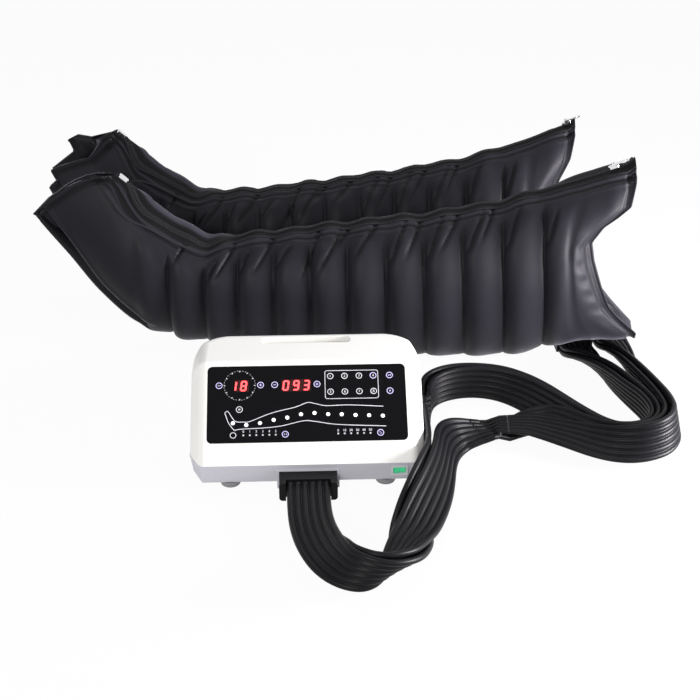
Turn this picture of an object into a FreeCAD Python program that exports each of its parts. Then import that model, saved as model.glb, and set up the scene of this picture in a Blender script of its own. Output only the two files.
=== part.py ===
import FreeCAD, Part
import math
import os

Vec = FreeCAD.Vector
os.makedirs("parts", exist_ok=True)

# Compression therapy pump with two leg sleeves, in millimetres.
# The origin lies on the floor under the middle of the pump, +X right, +Y back, +Z up.

# Pump cover
pumpWidth = 320.0
coverFrontY = -110.0
coverRearY = 110.0
coverRearTopY = 92.0
coverFootZ = 40.0
coverTopZ = 134.0
frontLean = 51.0
frontCornerInset = 15.0
cornerBevel = 19.0
rearCornerRadius = 55.0
coverEdgeRadius = 14.0
shellWall = 2.5
seatClear = 0.2

# Hand recess on top of the cover
recessWidth = 127.0
recessDepth = 20.0
recessFrontY = 60.0
recessRearY = 79.0
recessCorner = 6.0

# Base tray and feet
trayFootZ = 10.0
trayTaper = 4.0
trayFloor = 3.0
trayEdgeRadius = 4.0
footFromSide = 54.4
footFrontY = -90.0
footRearY = 84.0
footTopRadius = 16.0
footBottomRadius = 13.0
footPegRadius = 4.0

# Cover screws and their posts
screwPost = 6.0
postSink = 0.5
coverPostHeight = 16.0
frontScrewX = 75.0
sideScrewY = 20.0
screwShank = 1.9
screwHead = 3.6
screwHeadThick = 2.4
screwLength = 22.0
screwHeadZ = 26.0
screwTipCover = 1.5

# Front panel, measured on the sloping face
panelFromSide = 24.0
panelHeight = 111.2
panelFromFoot = 87.6
panelCorner = 7.0
panelThick = 2.0
panelLip = 4.6
panelSideLip = 8.0
lipThick = 3.0
boardGap = 5.0
boardThick = 1.6
boardMargin = 2.0
boardBossInset = 4.0
boardBossRadius = 3.4
boardScrewShank = 1.1
boardScrewHead = 2.2
boardScrewHeadThick = 1.3
boardScrewLength = 5.0
boardPlugHalf = 20.0
boardPlugRows = (36.0, 42.0)
boardPlugHeight = 7.0

# Keys
keyRadius = 4.6
keyHoleRadius = 4.75
keyProud = 0.8
keyFlangeRadius = 5.6
keyFlangeThick = 1.0
keyTravel = 0.4
keyStemRadius = 1.5
tactHeight = 3.6
tactHalf = 2.5
tactBody = 2.6
# Places on the panel are shares of its width and height from its middle
keyShares = {
    "key_time_minus": (-0.440809, 0.244604),
    "key_time_plus": (-0.232721, 0.244604),
    "key_pressure_minus": (-0.161397, 0.244604),
    "key_pressure_plus": (0.052206, 0.244604),
    "key_mode": (0.419853, 0.347122),
    "key_start": (0.419853, 0.140288),
    "key_individual": (-0.338603, -0.071043),
}
bottomKeys = {"key_hold": -0.110294, "key_interval": 0.363971}
bottomKeyFromEdge = 11.1

# Displays and lamps on the panel
timeCentreShare = (-0.327574, 0.238309)
timeSizeShare = (0.07058824, 0.15107914)
pressureCentreShare = (-0.052941, 0.235612)
pressureSizeShare = (0.14705882, 0.15647482)
modeColumns = (0.119853, 0.191912, 0.265074, 0.337132)
modeRows = (0.34982, 0.142986)
modeLampRadius = 4.8
chamberShares = (
    (-0.370588, -0.243705), (-0.304044, -0.269784), (-0.235662, -0.247302),
    (-0.167647, -0.210432), (-0.099632, -0.183453), (-0.030882, -0.143885),
    (0.036765, -0.130396), (0.104779, -0.149281), (0.172794, -0.153777),
    (0.241912, -0.166367), (0.309559, -0.172662), (0.378309, -0.181655),
)
chamberDotRadius = 2.7
smallDotRadius = 1.3
smallDotStep = 0.032169
smallDotCount = 6
smallDotFromEdge = 11.0
holdDotStart = -0.318382
intervalDotStart = 0.152574

# Power switch
switchFromSide = 37.0
switchZ = 28.2
switchWidth = 20.0
switchHeight = 12.6
rockerHalf = 8.4
rockerHeight = 9.5
rockerTilt = 10.0
rockerClear = 0.25
rockerBack = 5.0
rockerShape = ((-9.0, -4.4), (0.0, -3.0), (9.0, -4.4), (9.0, 1.6), (-9.0, 1.6))
bezelDepth = 16.0
bezelRim = 1.2
bezelRimThick = 1.6
bezelProud = 1.0
switchPinRadius = 1.2
pinEndWall = 0.8

# Plug and socket for the main hoses
plugWidth = 78.0
plugBottomZ = 1.5
plugTopZ = 29.5
plugFrontY = -138.0
plugMouthY = -129.0
plugMouthHalf = 30.0
plateFrontY = -106.0
plateRearY = -99.0
socketRimY = -110.5
socketSide = 3.0
socketTopZ = 32.0
nippleRadius = 2.1
nippleBore = 1.2
nippleLength = 5.0
rearNippleHeights = (20.0, 29.0)
plugCorner = 5.0
plugNotchDepth = 2.5
plugNotch = (-131.0, -121.0, 9.0, 22.0)
valveFrontY = -78.0
valveRearY = -44.0
valveTopZ = 35.0
valveMargin = 4.0
valveRowInset = 8.0
airLineWall = 1.0

# Inside the pump
fanSize = 60.0
fanDepth = 15.0
fanX = -70.0
fanUp = 41.0
fanBoreRadius = 28.0
fanHubRadius = 12.0
fanBladeCount = 7
fanTipClear = 1.0
fanPinRadius = 1.5
fanBearing = 0.05
fanArm = 3.0
fanPlateThick = 2.0
bladeThick = 1.4
bladeChord = 8.0
bladeTwist = 35.0
guardPlate = 64.0
guardCorner = 6.0
guardThick = 1.6
guardRings = (8.0, 15.0, 22.0)
guardBar = 1.4
guardSpoke = 1.8
guardScrewSpan = 50.0
fanScrewShank = 1.4
fanScrewHead = 2.6
fanScrewHeadThick = 1.4
fanScrewGrip = 8.0
slotCount = 9
slotPitch = 9.0
slotWidth = 3.6
slotHeight = 46.0
slotFirstX = 20.0
mainBoardZ = 24.0
mainBoardX = (-34.0, 52.0)
mainBoardY = (2.0, 92.0)
mainBoardInset = 5.0
mainBoardPost = 4.0
mainScrewLength = 8.0
boardParts = ((-14, 20, 30, 12, 22), (26, 30, 16, 26, 26), (-12, 54, 18, 18, 9), (22, 70, 30, 14, 12))
capacitorSpots = ((-4.0, 38.0), (9.0, 38.0))
capacitorRadius = 5.0
capacitorHeight = 22.0
partSink = 0.5
inletFromSide = 70.0
inletWidth = 28.0
inletHeight = 21.0
inletDepth = 20.0
inletLowZ = 14.5
inletRim = 1.5
inletWall = 3.0
inletPins = ((-6.5, 8.5), (0.0, 12.5), (6.5, 8.5))
inletPinWide = 2.0
inletPinHigh = 4.0
valveRadius = 4.3
valveHeight = 18.0
motorRadius = 26.0
motorLength = 62.0
compressorX = -85.0
compressorY = 30.0
compressorZ = 50.0
headThick = 18.0
mountHeight = 8.0
mountRadius = 6.0
mountInset = 12.0
motorFootInset = 4.0
headInset = 4.0
spoutRadius = 3.0
spoutHeight = 8.0
coreX = (76.0, 132.0)
coreY = (8.0, 60.0)
coreHeight = 46.0
coreLeg = 8.0
coreYoke = 9.0
coilOver = 6.0
coilGap = 1.0
coreMiddle = 12.0

# Ribbon hoses of six tubes
tubeCount = 6
mainTubeRadius = 4.4
branchTubeRadius = 4.1
mainPitch = 9.7
branchPitch = 9.0
layerRise = 5.9
bendShare = 0.45
collarRadius = 4.6
collarLength = 15.0
outletCollar = 12.0
ringRise = 0.15
barrelRadius = 4.05
forkRadius = 3.75
ringWidth = 1.6
frontBarrelShare = 0.45
rearBarrelShare = 0.3
rearCollarShare = 0.7
rearOutletShare = 0.8

# Centre lines of the ribbons: x, y, z and the roll of the ribbon about its run in degrees
pairRoute = [
    (0, -129, 16, 0), (0, -172, 16, 0), (4, -220, 18, -8), (15, -267, 24, -25),
    (32, -304, 31, -54), (57, -329, 36, -86), (88, -330, 36, -120),
    (111, -306, 31, -146), (124, -267, 24, -166),
]
frontRoute = [
    (138, -228, 22.5, -182), (153, -190, 25, -200), (168, -151, 28, -218),
    (180, -112, 30, -232), (188, -75, 30, -238), (195, -44, 27.5, -230),
    (208, -20, 24, -214), (224, -8, 21, -198), (242, -2, 19, -184),
]
rearRoute = [
    (129, -228, 12, -186), (139, -190, 15.5, -204), (150, -151, 23.5, -230),
    (158, -115, 29.6, -254), (165.6, -80, 31, -268), (167, -33, 31, -270),
    (167, 14, 31, -270),
]
farRouteA = [
    (288, 9.5, 22, -174), (316, 6.5, 24.8, -178), (344, -10, 26.5, -186),
    (374, -33, 30, -196), (404, -55, 32.5, -210), (434, -71, 36.5, -226),
    (466, -75, 41, -240), (500, -62, 43, -250), (522, -30, 43, -256),
    (526, 12, 41, -256), (521, 58, 38, -254), (514, 104, 36, -250),
    (508, 150, 32, -244), (505, 194, 27.5, -228), (503, 232, 22.4, -204),
    (501, 268, 16, -186), (500, 296, 14.6, -180), (495, 320, 14.6, -180),
    (482, 344, 14.6, -180), (464, 368, 14.6, -180), (443, 392, 14.6, -180),
    (424, 416, 14.6, -180), (412, 440, 14.6, -180), (408, 463, 14.6, -180),
    (408, 479, 14.6, -180),
]
farRouteB = [
    (288, 11, 11, -174), (308, 21, 11.6, -176), (329, 30, 16.2, -190),
    (351, 25, 22.4, -204), (376, 0, 25, -207), (402, -31, 28.5, -212),
    (428, -51, 31.5, -223), (458, -62.5, 34.3, -240), (492, -52, 37, -250),
    (513, -21, 37, -256), (516, 20, 35, -256), (510, 64, 34, -254),
    (503, 108, 32, -250), (498, 152, 28, -243), (496, 194, 22, -226),
    (498, 234, 12.6, -202), (500, 270, 5.8, -184), (500, 296, 4.9, -180),
    (495, 320, 4.9, -180), (482, 344, 4.9, -180), (464, 368, 4.9, -180),
    (443, 392, 4.9, -180), (424, 416, 4.9, -180), (412, 440, 4.9, -180),
    (408, 463, 4.9, -180), (408, 479, 4.9, -180),
]
nearRouteA = [
    (177, 48, 31, -270), (181, 78, 31, -270), (198, 102, 31, -270),
    (226, 116, 31, -268), (258, 120, 30.5, -266), (290, 112, 30, -260),
    (318, 93, 29, -248), (340, 70, 26.5, -234), (361, 47, 22.5, -222),
    (383, 18, 21.5, -214), (406, -16, 22.5, -216), (430, -41, 25.5, -225),
    (458, -54, 29, -243), (487, -43, 31, -254), (504, -16, 31, -258),
    (506, 18, 31, -258), (499, 54, 30, -256), (488, 90, 30, -251),
    (477, 126, 29, -247), (466, 160, 26, -237), (455, 194, 22.5, -219),
    (444, 224, 21.6, -197), (438, 247, 15, -182), (438, 264, 14.6, -180),
]
nearRouteB = [
    (167, 48, 31, -270), (169, 82, 31, -270), (184, 110, 31, -270),
    (214, 127, 31, -268), (252, 131, 30, -266), (292, 122, 29, -260),
    (322, 101, 27, -248), (346, 79, 23, -234), (366, 57, 18.8, -220),
    (389, 27, 16.5, -212), (412, -8, 17.5, -215), (434, -32.5, 20.2, -225),
    (457, -43, 24.4, -243), (479, -36, 26.8, -256), (494, -14, 27.4, -261),
    (497, 14, 27.6, -261), (491, 46, 28.6, -258), (479, 80, 27, -252),
    (468, 115, 26, -248), (457, 150, 23.8, -238), (447, 188, 18.5, -218),
    (440, 220, 11.9, -196), (438, 246, 5.6, -182), (438, 264, 4.9, -180),
]

# Leg sleeves, in their own straight frame: underside x z, ridge x z, half thickness
sleeveSections = [
    (512, 26, 500, 324, 46), (476, 26, 470, 313, 62), (440, 25, 440, 302, 72),
    (402, 20, 406, 291, 76), (350, 3, 350, 276, 78), (290, -1, 290, 260, 78),
    (200, -1, 200, 243, 78), (110, -1, 110, 232, 76), (20, 4, 25, 221, 72),
    (-80, 10, -65, 209, 66), (-183, 25, -115, 203, 62),
    (-266, 48, -150, 206, 58), (-324, 106, -200, 231, 55),
    (-374, 176, -242, 265, 50), (-419, 239, -283, 301, 40),
]
sleeveRowY = 286.0
sleeveTurn = -2.4
farSleeveShift = (-30.0, 215.0)
legGapShare = 0.46
ovalPoints = 16
endCut = 4.0
tapePoints = 30
tapeHalf = 7.0
tapeRise = 2.0
tapeSink = 5.0
sliderLength = 16.0
sliderWidth = 9.0
sliderHeight = 3.6
sliderGap = 0.4
sliderFromThigh = 30.0
sliderCorner = 2.5
lugThick = 1.6
lugHalf = 2.4
lugGap = 0.3
pullHole = 1.8
pullHoleInset = 4.0
pinRadius = 0.9
pinClear = 0.06
pullLength = 24.0
pullWidth = 6.0
pullThick = 1.4
portX = 438.0
portWidth = 58.0
portDepth = 26.0
portTopZ = 36.0
floorGap = 0.3

# Places that follow from the sizes above
frontFaceHalf = pumpWidth / 2 - frontCornerInset
panelWidth = pumpWidth - 2 * panelFromSide
footSpanX = pumpWidth - 2 * footFromSide
switchX = pumpWidth / 2 - switchFromSide
inletX = pumpWidth / 2 - inletFromSide
boardTop = -(panelThick + lipThick + boardGap)
boardBottom = boardTop - boardThick
pinZ = sliderGap + sliderHeight + lugThick


def save(node, shapes):
    """Write one node from its solids."""
    solids = shapes if isinstance(shapes, list) else [shapes]
    shape = solids[0] if len(solids) == 1 else Part.makeCompound(solids)
    shape.exportStep("parts/" + node + ".step")


def block(x0, x1, y0, y1, z0, z1):
    return Part.makeBox(x1 - x0, y1 - y0, z1 - z0, Vec(x0, y0, z0))


def rod(start, end, radius):
    run = end.sub(start)
    return Part.makeCylinder(radius, run.Length, start, run)


def jointRod(start, end, radius):
    """Rod that runs a little past both ends, to fill the bend to the next one."""
    past = end.sub(start).normalize() * (radius * 0.25)
    return rod(start - past, end + past, radius)


def roundedPlate(width, height, corner, low, high):
    """Flat plate about the local origin with rounded corners, from low to high in z."""
    plate = block(-width / 2, width / 2, -height / 2, height / 2, low, high)
    upright = [e for e in plate.Edges if abs(e.Vertexes[0].Z - e.Vertexes[-1].Z) > 1e-6]
    return plate.makeFillet(min(corner, 0.45 * min(width, height)), upright)


def joined(shapes):
    """One solid from overlapping shapes."""
    whole = shapes[0]
    for shape in shapes[1:]:
        whole = whole.fuse(shape)
    return whole.removeSplitter()


# Frames on the sloping front and on the leaning rear wall
slopeTurn = 90.0 - frontLean
slopeAngle = math.radians(slopeTurn)
rearLean = math.degrees(math.atan2(coverRearY - coverRearTopY, coverTopZ - coverFootZ))
panelPlace = FreeCAD.Placement(
    Vec(0, coverFrontY + panelFromFoot * math.cos(slopeAngle),
        coverFootZ + panelFromFoot * math.sin(slopeAngle)),
    FreeCAD.Rotation(Vec(1, 0, 0), slopeTurn))
rearPlace = FreeCAD.Placement(Vec(0, coverRearY, coverFootZ), FreeCAD.Rotation(Vec(1, 0, 0), 90 + rearLean))


def onPanel(shape):
    """From x right, y up the slope, z outward to the pump."""
    shape.Placement = panelPlace.multiply(shape.Placement)
    return shape


def onRear(shape):
    """From x right, y up the rear wall, z inward to the pump."""
    shape.Placement = rearPlace.multiply(shape.Placement)
    return shape


# Cover
def coverProfile(x, inset):
    """Side outline at one x, moved inward from front, top and rear."""
    lean = math.radians(frontLean)
    back = math.radians(rearLean)
    topZ = coverTopZ - inset
    frontFoot = coverFrontY + inset / math.cos(lean)
    rearFoot = coverRearY - inset / math.cos(back)
    rise = topZ - coverFootZ
    points = [
        Vec(x, frontFoot, coverFootZ), Vec(x, frontFoot + rise * math.tan(lean), topZ),
        Vec(x, rearFoot - rise * math.tan(back), topZ), Vec(x, rearFoot, coverFootZ)]
    return Part.makePolygon(points + [points[0]])


def rearRoundedPlan(z, half, front, rear, radius):
    """Plan outline with a straight front and two round rear corners."""
    far = radius * (1 - math.sqrt(0.5))
    corners = [
        Vec(-half, front, z), Vec(half, front, z), Vec(half, rear - radius, z),
        Vec(half - radius, rear, z), Vec(radius - half, rear, z), Vec(-half, rear - radius, z)]
    return Part.Wire([
        Part.makeLine(corners[0], corners[1]),
        Part.makeLine(corners[1], corners[2]),
        Part.Arc(corners[2], Vec(half - far, rear - far, z), corners[3]).toShape(),
        Part.makeLine(corners[3], corners[4]),
        Part.Arc(corners[4], Vec(far - half, rear - far, z), corners[5]).toShape(),
        Part.makeLine(corners[5], corners[0])])


def coverBlock(inset, edgeRadius):
    """Solid shape of the cover, moved inward all round by the inset."""
    half = pumpWidth / 2 - inset
    faceHalf = frontFaceHalf - inset
    body = Part.Face(coverProfile(-faceHalf, inset)).extrude(Vec(2 * faceHalf, 0, 0))
    for side in (-1, 1):
        inner = coverProfile(side * faceHalf, inset)
        outer = coverProfile(side * half, inset + cornerBevel)
        body = body.fuse(Part.makeLoft([inner, outer], True, True))
    front = coverFrontY - cornerBevel
    planHalf = half + 1
    radius = rearCornerRadius - inset
    envelope = Part.makeLoft([
        rearRoundedPlan(coverFootZ, planHalf, front, coverRearY - inset, radius),
        rearRoundedPlan(coverTopZ, planHalf, front, coverRearTopY - inset, radius)], True, True)
    body = body.removeSplitter().common(envelope).Solids[0]
    edges = [e for e in body.Edges if any(abs(v.Z - coverFootZ) > 1e-3 for v in e.Vertexes)]
    return body.makeFillet(edgeRadius, edges)


def screwSpots():
    """Cover screws: two beside the side walls, two at the sloping front."""
    lean = math.radians(frontLean)
    sideX = pumpWidth / 2 - shellWall - screwPost + postSink
    tipRise = screwHeadZ + screwLength + screwTipCover - coverFootZ
    frontY = coverFrontY + tipRise * math.tan(lean) + shellWall / math.cos(lean) + screwShank
    return [(-sideX, sideScrewY), (sideX, sideScrewY), (-frontScrewX, frontY), (frontScrewX, frontY)]


def boardSpots():
    half = (panelWidth / 2 - boardBossInset, panelHeight / 2 - boardBossInset)
    return [(sx * half[0], sy * half[1]) for sx in (-1, 1) for sy in (-1, 1)]


def topCover():
    outer = coverBlock(0, coverEdgeRadius)
    inner = coverBlock(shellWall, coverEdgeRadius - shellWall)
    backing = onPanel(block(
        -panelWidth / 2 - lipThick, panelWidth / 2 + lipThick,
        -panelHeight / 2 - lipThick, panelHeight / 2 + lipThick,
        -panelThick - lipThick, 0))
    middleY = (recessFrontY + recessRearY) / 2
    bowl = roundedPlate(
        recessWidth + 2 * shellWall, recessRearY - recessFrontY + 2 * shellWall,
        recessCorner + shellWall, coverTopZ - recessDepth - shellWall, coverTopZ - shellWall / 2)
    bowl.translate(Vec(0, middleY, 0))
    posts = []
    for x, y in screwSpots():
        post = rod(Vec(x, y, coverFootZ), Vec(x, y, coverFootZ + coverPostHeight), screwPost)
        posts.append(post.common(outer))
    shell = outer.cut(inner.cut(backing)).fuse([bowl] + posts)
    bosses = []
    for u, v in boardSpots():
        bosses.append(onPanel(rod(Vec(u, v, -panelThick - lipThick + 0.5), Vec(u, v, boardTop), boardBossRadius)))
    shell = shell.fuse(bosses)
    recess = roundedPlate(
        recessWidth, recessRearY - recessFrontY, recessCorner, coverTopZ - recessDepth, coverTopZ + 1)
    recess.translate(Vec(0, middleY, 0))
    pocket = onPanel(roundedPlate(
        panelWidth + 2 * seatClear, panelHeight + 2 * seatClear, panelCorner, -panelThick, coverEdgeRadius))
    window = onPanel(roundedPlate(
        panelWidth - 2 * panelSideLip, panelHeight - 2 * panelLip, panelCorner,
        -panelThick - lipThick - 1, 0))
    shell = shell.cut([recess, pocket, window] + rearCuts())
    holes = [rod(Vec(x, y, coverFootZ), Vec(x, y, screwHeadZ + screwLength), screwShank)
             for x, y in screwSpots()]
    for u, v in boardSpots():
        tip = Vec(u, v, boardBottom + boardScrewLength)
        holes.append(onPanel(rod(Vec(u, v, boardTop), tip, boardScrewShank)))
    return shell.cut(holes)


# Rear wall: fan opening and vent slots
def fanCorners():
    half = guardScrewSpan / 2
    return [(fanX + sx * half, fanUp + sy * half) for sx in (-1, 1) for sy in (-1, 1)]


def rearCuts():
    """Cuts through the rear wall of the cover."""
    cuts = [onRear(Part.makeCylinder(fanBoreRadius, 3 * shellWall, Vec(fanX, fanUp, -shellWall)))]
    for u, v in fanCorners():
        cuts.append(onRear(Part.makeCylinder(fanScrewShank + 0.1, 3 * shellWall, Vec(u, v, -shellWall))))
    for i in range(slotCount):
        x = slotFirstX + i * slotPitch
        low = fanUp - slotHeight / 2
        cuts.append(onRear(block(
            x - slotWidth / 2, x + slotWidth / 2, low, low + slotHeight, -shellWall, 2 * shellWall)))
    return cuts


def fanGuard():
    """Square plate with rings and spokes over the fan opening."""
    plate = roundedPlate(guardPlate, guardPlate, guardCorner, -guardThick, 0)
    plate.translate(Vec(fanX, fanUp, 0))
    centre = Vec(fanX, fanUp, -guardThick - 1)
    plate = plate.cut(Part.makeCylinder(fanBoreRadius - 1, guardThick + 2, centre))
    parts = [plate]
    base = Vec(fanX, fanUp, -guardThick)
    for radius in guardRings:
        ring = Part.makeCylinder(radius, guardThick, base)
        parts.append(ring.cut(Part.makeCylinder(radius - guardBar, guardThick, base)))
    for turn in (0, 90):
        spoke = block(-fanBoreRadius, fanBoreRadius, -guardSpoke / 2, guardSpoke / 2, -guardThick, 0)
        spoke.rotate(Vec(0, 0, 0), Vec(0, 0, 1), turn)
        spoke.translate(Vec(fanX, fanUp, 0))
        parts.append(spoke)
    guard = joined(parts)
    holes = [Part.makeCylinder(fanScrewShank + 0.1, guardThick + 2, Vec(u, v, -guardThick - 1))
             for u, v in fanCorners()]
    return onRear(guard.cut(holes))


def fanFrame():
    half = fanSize / 2
    frame = block(fanX - half, fanX + half, fanUp - half, fanUp + half, shellWall, shellWall + fanDepth)
    frame = frame.cut(Part.makeCylinder(fanBoreRadius, fanDepth + 2, Vec(fanX, fanUp, shellWall - 1)))
    rearZ = shellWall + fanDepth
    plateZ = rearZ - fanPlateThick
    hub = Part.makeCylinder(fanHubRadius, fanPlateThick, Vec(fanX, fanUp, plateZ))
    pinZ0 = shellWall + 2 * fanPlateThick - 1
    pin = Part.makeCylinder(fanPinRadius, rearZ - fanPlateThick / 2 - pinZ0, Vec(fanX, fanUp, pinZ0))
    parts = [frame, hub, pin]
    for turn in (30, 150, 270):
        arm = block(0, fanBoreRadius + 1, -fanArm / 2, fanArm / 2, plateZ, rearZ)
        arm.rotate(Vec(0, 0, 0), Vec(0, 0, 1), turn)
        arm.translate(Vec(fanX, fanUp, 0))
        parts.append(arm)
    holes = [Part.makeCylinder(fanScrewShank, fanScrewGrip, Vec(u, v, shellWall)) for u, v in fanCorners()]
    return onRear(joined(parts).cut(holes))


def fanRotor():
    """Hub cup with twisted blades, turning on the frame's pin."""
    low = shellWall + 1.5
    high = shellWall + fanDepth - fanPlateThick - 1
    hub = Part.makeCylinder(fanHubRadius, high - low, Vec(0, 0, low))
    parts = [hub]
    for i in range(fanBladeCount):
        blade = block(
            fanHubRadius - 2, fanBoreRadius - 2 * fanTipClear,
            -bladeThick / 2, bladeThick / 2, -bladeChord / 2, bladeChord / 2)
        blade.rotate(Vec(0, 0, 0), Vec(1, 0, 0), bladeTwist)
        blade.translate(Vec(0, 0, (low + high) / 2))
        blade.rotate(Vec(0, 0, 0), Vec(0, 0, 1), 360.0 * i / fanBladeCount)
        parts.append(blade)
    rotor = joined(parts).cut(Part.makeCylinder(fanPinRadius + fanBearing, high - low, Vec(0, 0, low + 1)))
    rotor.translate(Vec(fanX, fanUp, 0))
    return onRear(rotor)


def fanScrews():
    screws = []
    for u, v in fanCorners():
        head = Part.makeCylinder(fanScrewHead, fanScrewHeadThick, Vec(u, v, -guardThick - fanScrewHeadThick))
        shank = Part.makeCylinder(fanScrewShank, guardThick + shellWall + fanScrewGrip, Vec(u, v, -guardThick))
        screws.append(onRear(head.fuse(shank)))
    return screws


# Base tray
def trayOutline(z, inset):
    """Plan outline of the tray with bevelled front corners and round rear corners."""
    half = pumpWidth / 2 - inset
    faceHalf = frontFaceHalf - inset / 2
    front = coverFrontY + inset
    side = coverFrontY + cornerBevel / math.cos(math.radians(frontLean)) + inset / 2
    rear = coverRearY - inset
    radius = rearCornerRadius - inset
    far = radius * (1 - math.sqrt(0.5))
    points = [
        Vec(-faceHalf, front, z), Vec(faceHalf, front, z), Vec(half, side, z),
        Vec(half, rear - radius, z), Vec(half - radius, rear, z), Vec(radius - half, rear, z),
        Vec(-half, rear - radius, z), Vec(-half, side, z)]
    return Part.Wire([
        Part.makeLine(points[0], points[1]), Part.makeLine(points[1], points[2]),
        Part.makeLine(points[2], points[3]),
        Part.Arc(points[3], Vec(half - far, rear - far, z), points[4]).toShape(),
        Part.makeLine(points[4], points[5]),
        Part.Arc(points[5], Vec(far - half, rear - far, z), points[6]).toShape(),
        Part.makeLine(points[6], points[7]), Part.makeLine(points[7], points[0])])


def footSpots():
    return [(sx * footSpanX / 2, y) for sx in (-1, 1) for y in (footFrontY, footRearY)]


def baseTray():
    outer = Part.makeLoft([trayOutline(trayFootZ, trayTaper), trayOutline(coverFootZ, 0)], True, True)
    low = [e for e in outer.Edges if all(abs(v.Z - trayFootZ) < 1e-3 for v in e.Vertexes)]
    outer = outer.makeFillet(trayEdgeRadius, low)
    inner = Part.makeLoft([
        trayOutline(trayFootZ + trayFloor, trayTaper + shellWall),
        trayOutline(coverFootZ, shellWall)], True, True)
    tray = outer.cut(inner)
    posts = [rod(Vec(x, y, trayFootZ + 1), Vec(x, y, coverFootZ), screwPost).common(outer)
             for x, y in screwSpots()]
    posts += [rod(Vec(x, y, trayFootZ + 1), Vec(x, y, mainBoardZ), mainBoardPost)
              for x, y in mainBoardSpots()]
    tray = tray.fuse(posts).removeSplitter()
    cuts = [Part.makeCylinder(footPegRadius + 0.1, trayFloor + 2, Vec(x, y, trayFootZ - 1))
            for x, y in footSpots()]
    for x, y in screwSpots():
        cuts.append(Part.makeCylinder(screwShank + 0.2, coverFootZ, Vec(x, y, 1)))
        cuts.append(Part.makeCylinder(screwHead + 0.3, screwHeadZ, Vec(x, y, 0)))
    for x, y in mainBoardSpots():
        top = mainBoardZ + boardThick
        cuts.append(rod(Vec(x, y, top), Vec(x, y, top - mainScrewLength), boardScrewShank))
    cuts.append(block(
        -plugWidth / 2 - socketSide - seatClear, plugWidth / 2 + socketSide + seatClear,
        coverFrontY - 5, plateRearY + seatClear, 0, socketTopZ + seatClear))
    cuts.append(switchBox(seatClear, coverFrontY - 5, coverFrontY + 20))
    cuts.append(block(
        inletX - inletWidth / 2 - seatClear, inletX + inletWidth / 2 + seatClear,
        coverRearY - 15, coverRearY + 5, inletLowZ - seatClear, inletLowZ + inletHeight + seatClear))
    return tray.cut(cuts)


def rubberFeet():
    feet = []
    for x, y in footSpots():
        pad = Part.makeCone(footBottomRadius, footTopRadius, trayFootZ, Vec(x, y, 0))
        rim = [e for e in pad.Edges if all(abs(v.Z) < 1e-3 for v in e.Vertexes)]
        pad = pad.makeFillet(1.5, rim)
        feet.append(pad.fuse(Part.makeCylinder(footPegRadius, trayFloor + 1, Vec(x, y, trayFootZ))))
    return feet


def coverScrews():
    screws = []
    for x, y in screwSpots():
        head = Part.makeCylinder(screwHead, screwHeadThick, Vec(x, y, screwHeadZ - screwHeadThick))
        screws.append(head.fuse(Part.makeCylinder(screwShank, screwLength, Vec(x, y, screwHeadZ))))
    return screws


# Panel with its keys, displays and lamps
def panelSpot(shares):
    return (shares[0] * panelWidth, shares[1] * panelHeight)


def keySpots():
    spots = {name: panelSpot(shares) for name, shares in keyShares.items()}
    for name, share in bottomKeys.items():
        spots[name] = (share * panelWidth, bottomKeyFromEdge - panelHeight / 2)
    return spots


def chamberSpots():
    return [panelSpot(shares) for shares in chamberShares]


def modeSpots():
    return [panelSpot((column, row)) for row in modeRows for column in modeColumns]


def dotRow(start):
    row = smallDotFromEdge - panelHeight / 2
    return [((start + i * smallDotStep) * panelWidth, row) for i in range(smallDotCount)]


def spotRods(spots, radius, low, high):
    return [Part.makeCylinder(radius, high - low, Vec(u, v, low)) for u, v in spots]


def panelBox(centreShare, sizeShare, low, high, grow):
    centre = panelSpot(centreShare)
    size = panelSpot(sizeShare)
    return block(
        centre[0] - size[0] / 2 - grow, centre[0] + size[0] / 2 + grow,
        centre[1] - size[1] / 2 - grow, centre[1] + size[1] / 2 + grow, low, high)


def controlPanel():
    low = -panelThick - 1
    plate = roundedPlate(panelWidth, panelHeight, panelCorner, -panelThick, 0)
    cuts = spotRods(keySpots().values(), keyHoleRadius, low, 1)
    cuts += spotRods(modeSpots(), modeLampRadius, low, 1)
    cuts += spotRods(chamberSpots(), chamberDotRadius, low, 1)
    cuts += spotRods(dotRow(holdDotStart) + dotRow(intervalDotStart), smallDotRadius, low, 1)
    cuts.append(panelBox(timeCentreShare, timeSizeShare, low, 1, seatClear))
    cuts.append(panelBox(pressureCentreShare, pressureSizeShare, low, 1, seatClear))
    return onPanel(plate.cut(cuts))


def lampSet(spots, radius):
    """Light pipes from the board up to the face of the panel."""
    return [onPanel(pipe) for pipe in spotRods(spots, radius - 0.05, boardTop, -0.1)]


def panelKey(spot):
    """Round cap with a flange under the panel and a stem over its switch."""
    u, v = spot
    under = -panelThick - 0.05
    cap = Part.makeCylinder(keyRadius, keyProud - under, Vec(u, v, under))
    rim = [e for e in cap.Edges if all(abs(w.Z - keyProud) < 1e-3 for w in e.Vertexes)]
    cap = cap.makeFillet(0.4, rim)
    flange = Part.makeCylinder(keyFlangeRadius, keyFlangeThick, Vec(u, v, under - keyFlangeThick))
    stemLow = boardTop + tactHeight + keyTravel + 0.1
    stem = rod(Vec(u, v, stemLow), Vec(u, v, under), keyStemRadius)
    return onPanel(joined([cap, flange, stem]))


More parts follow.
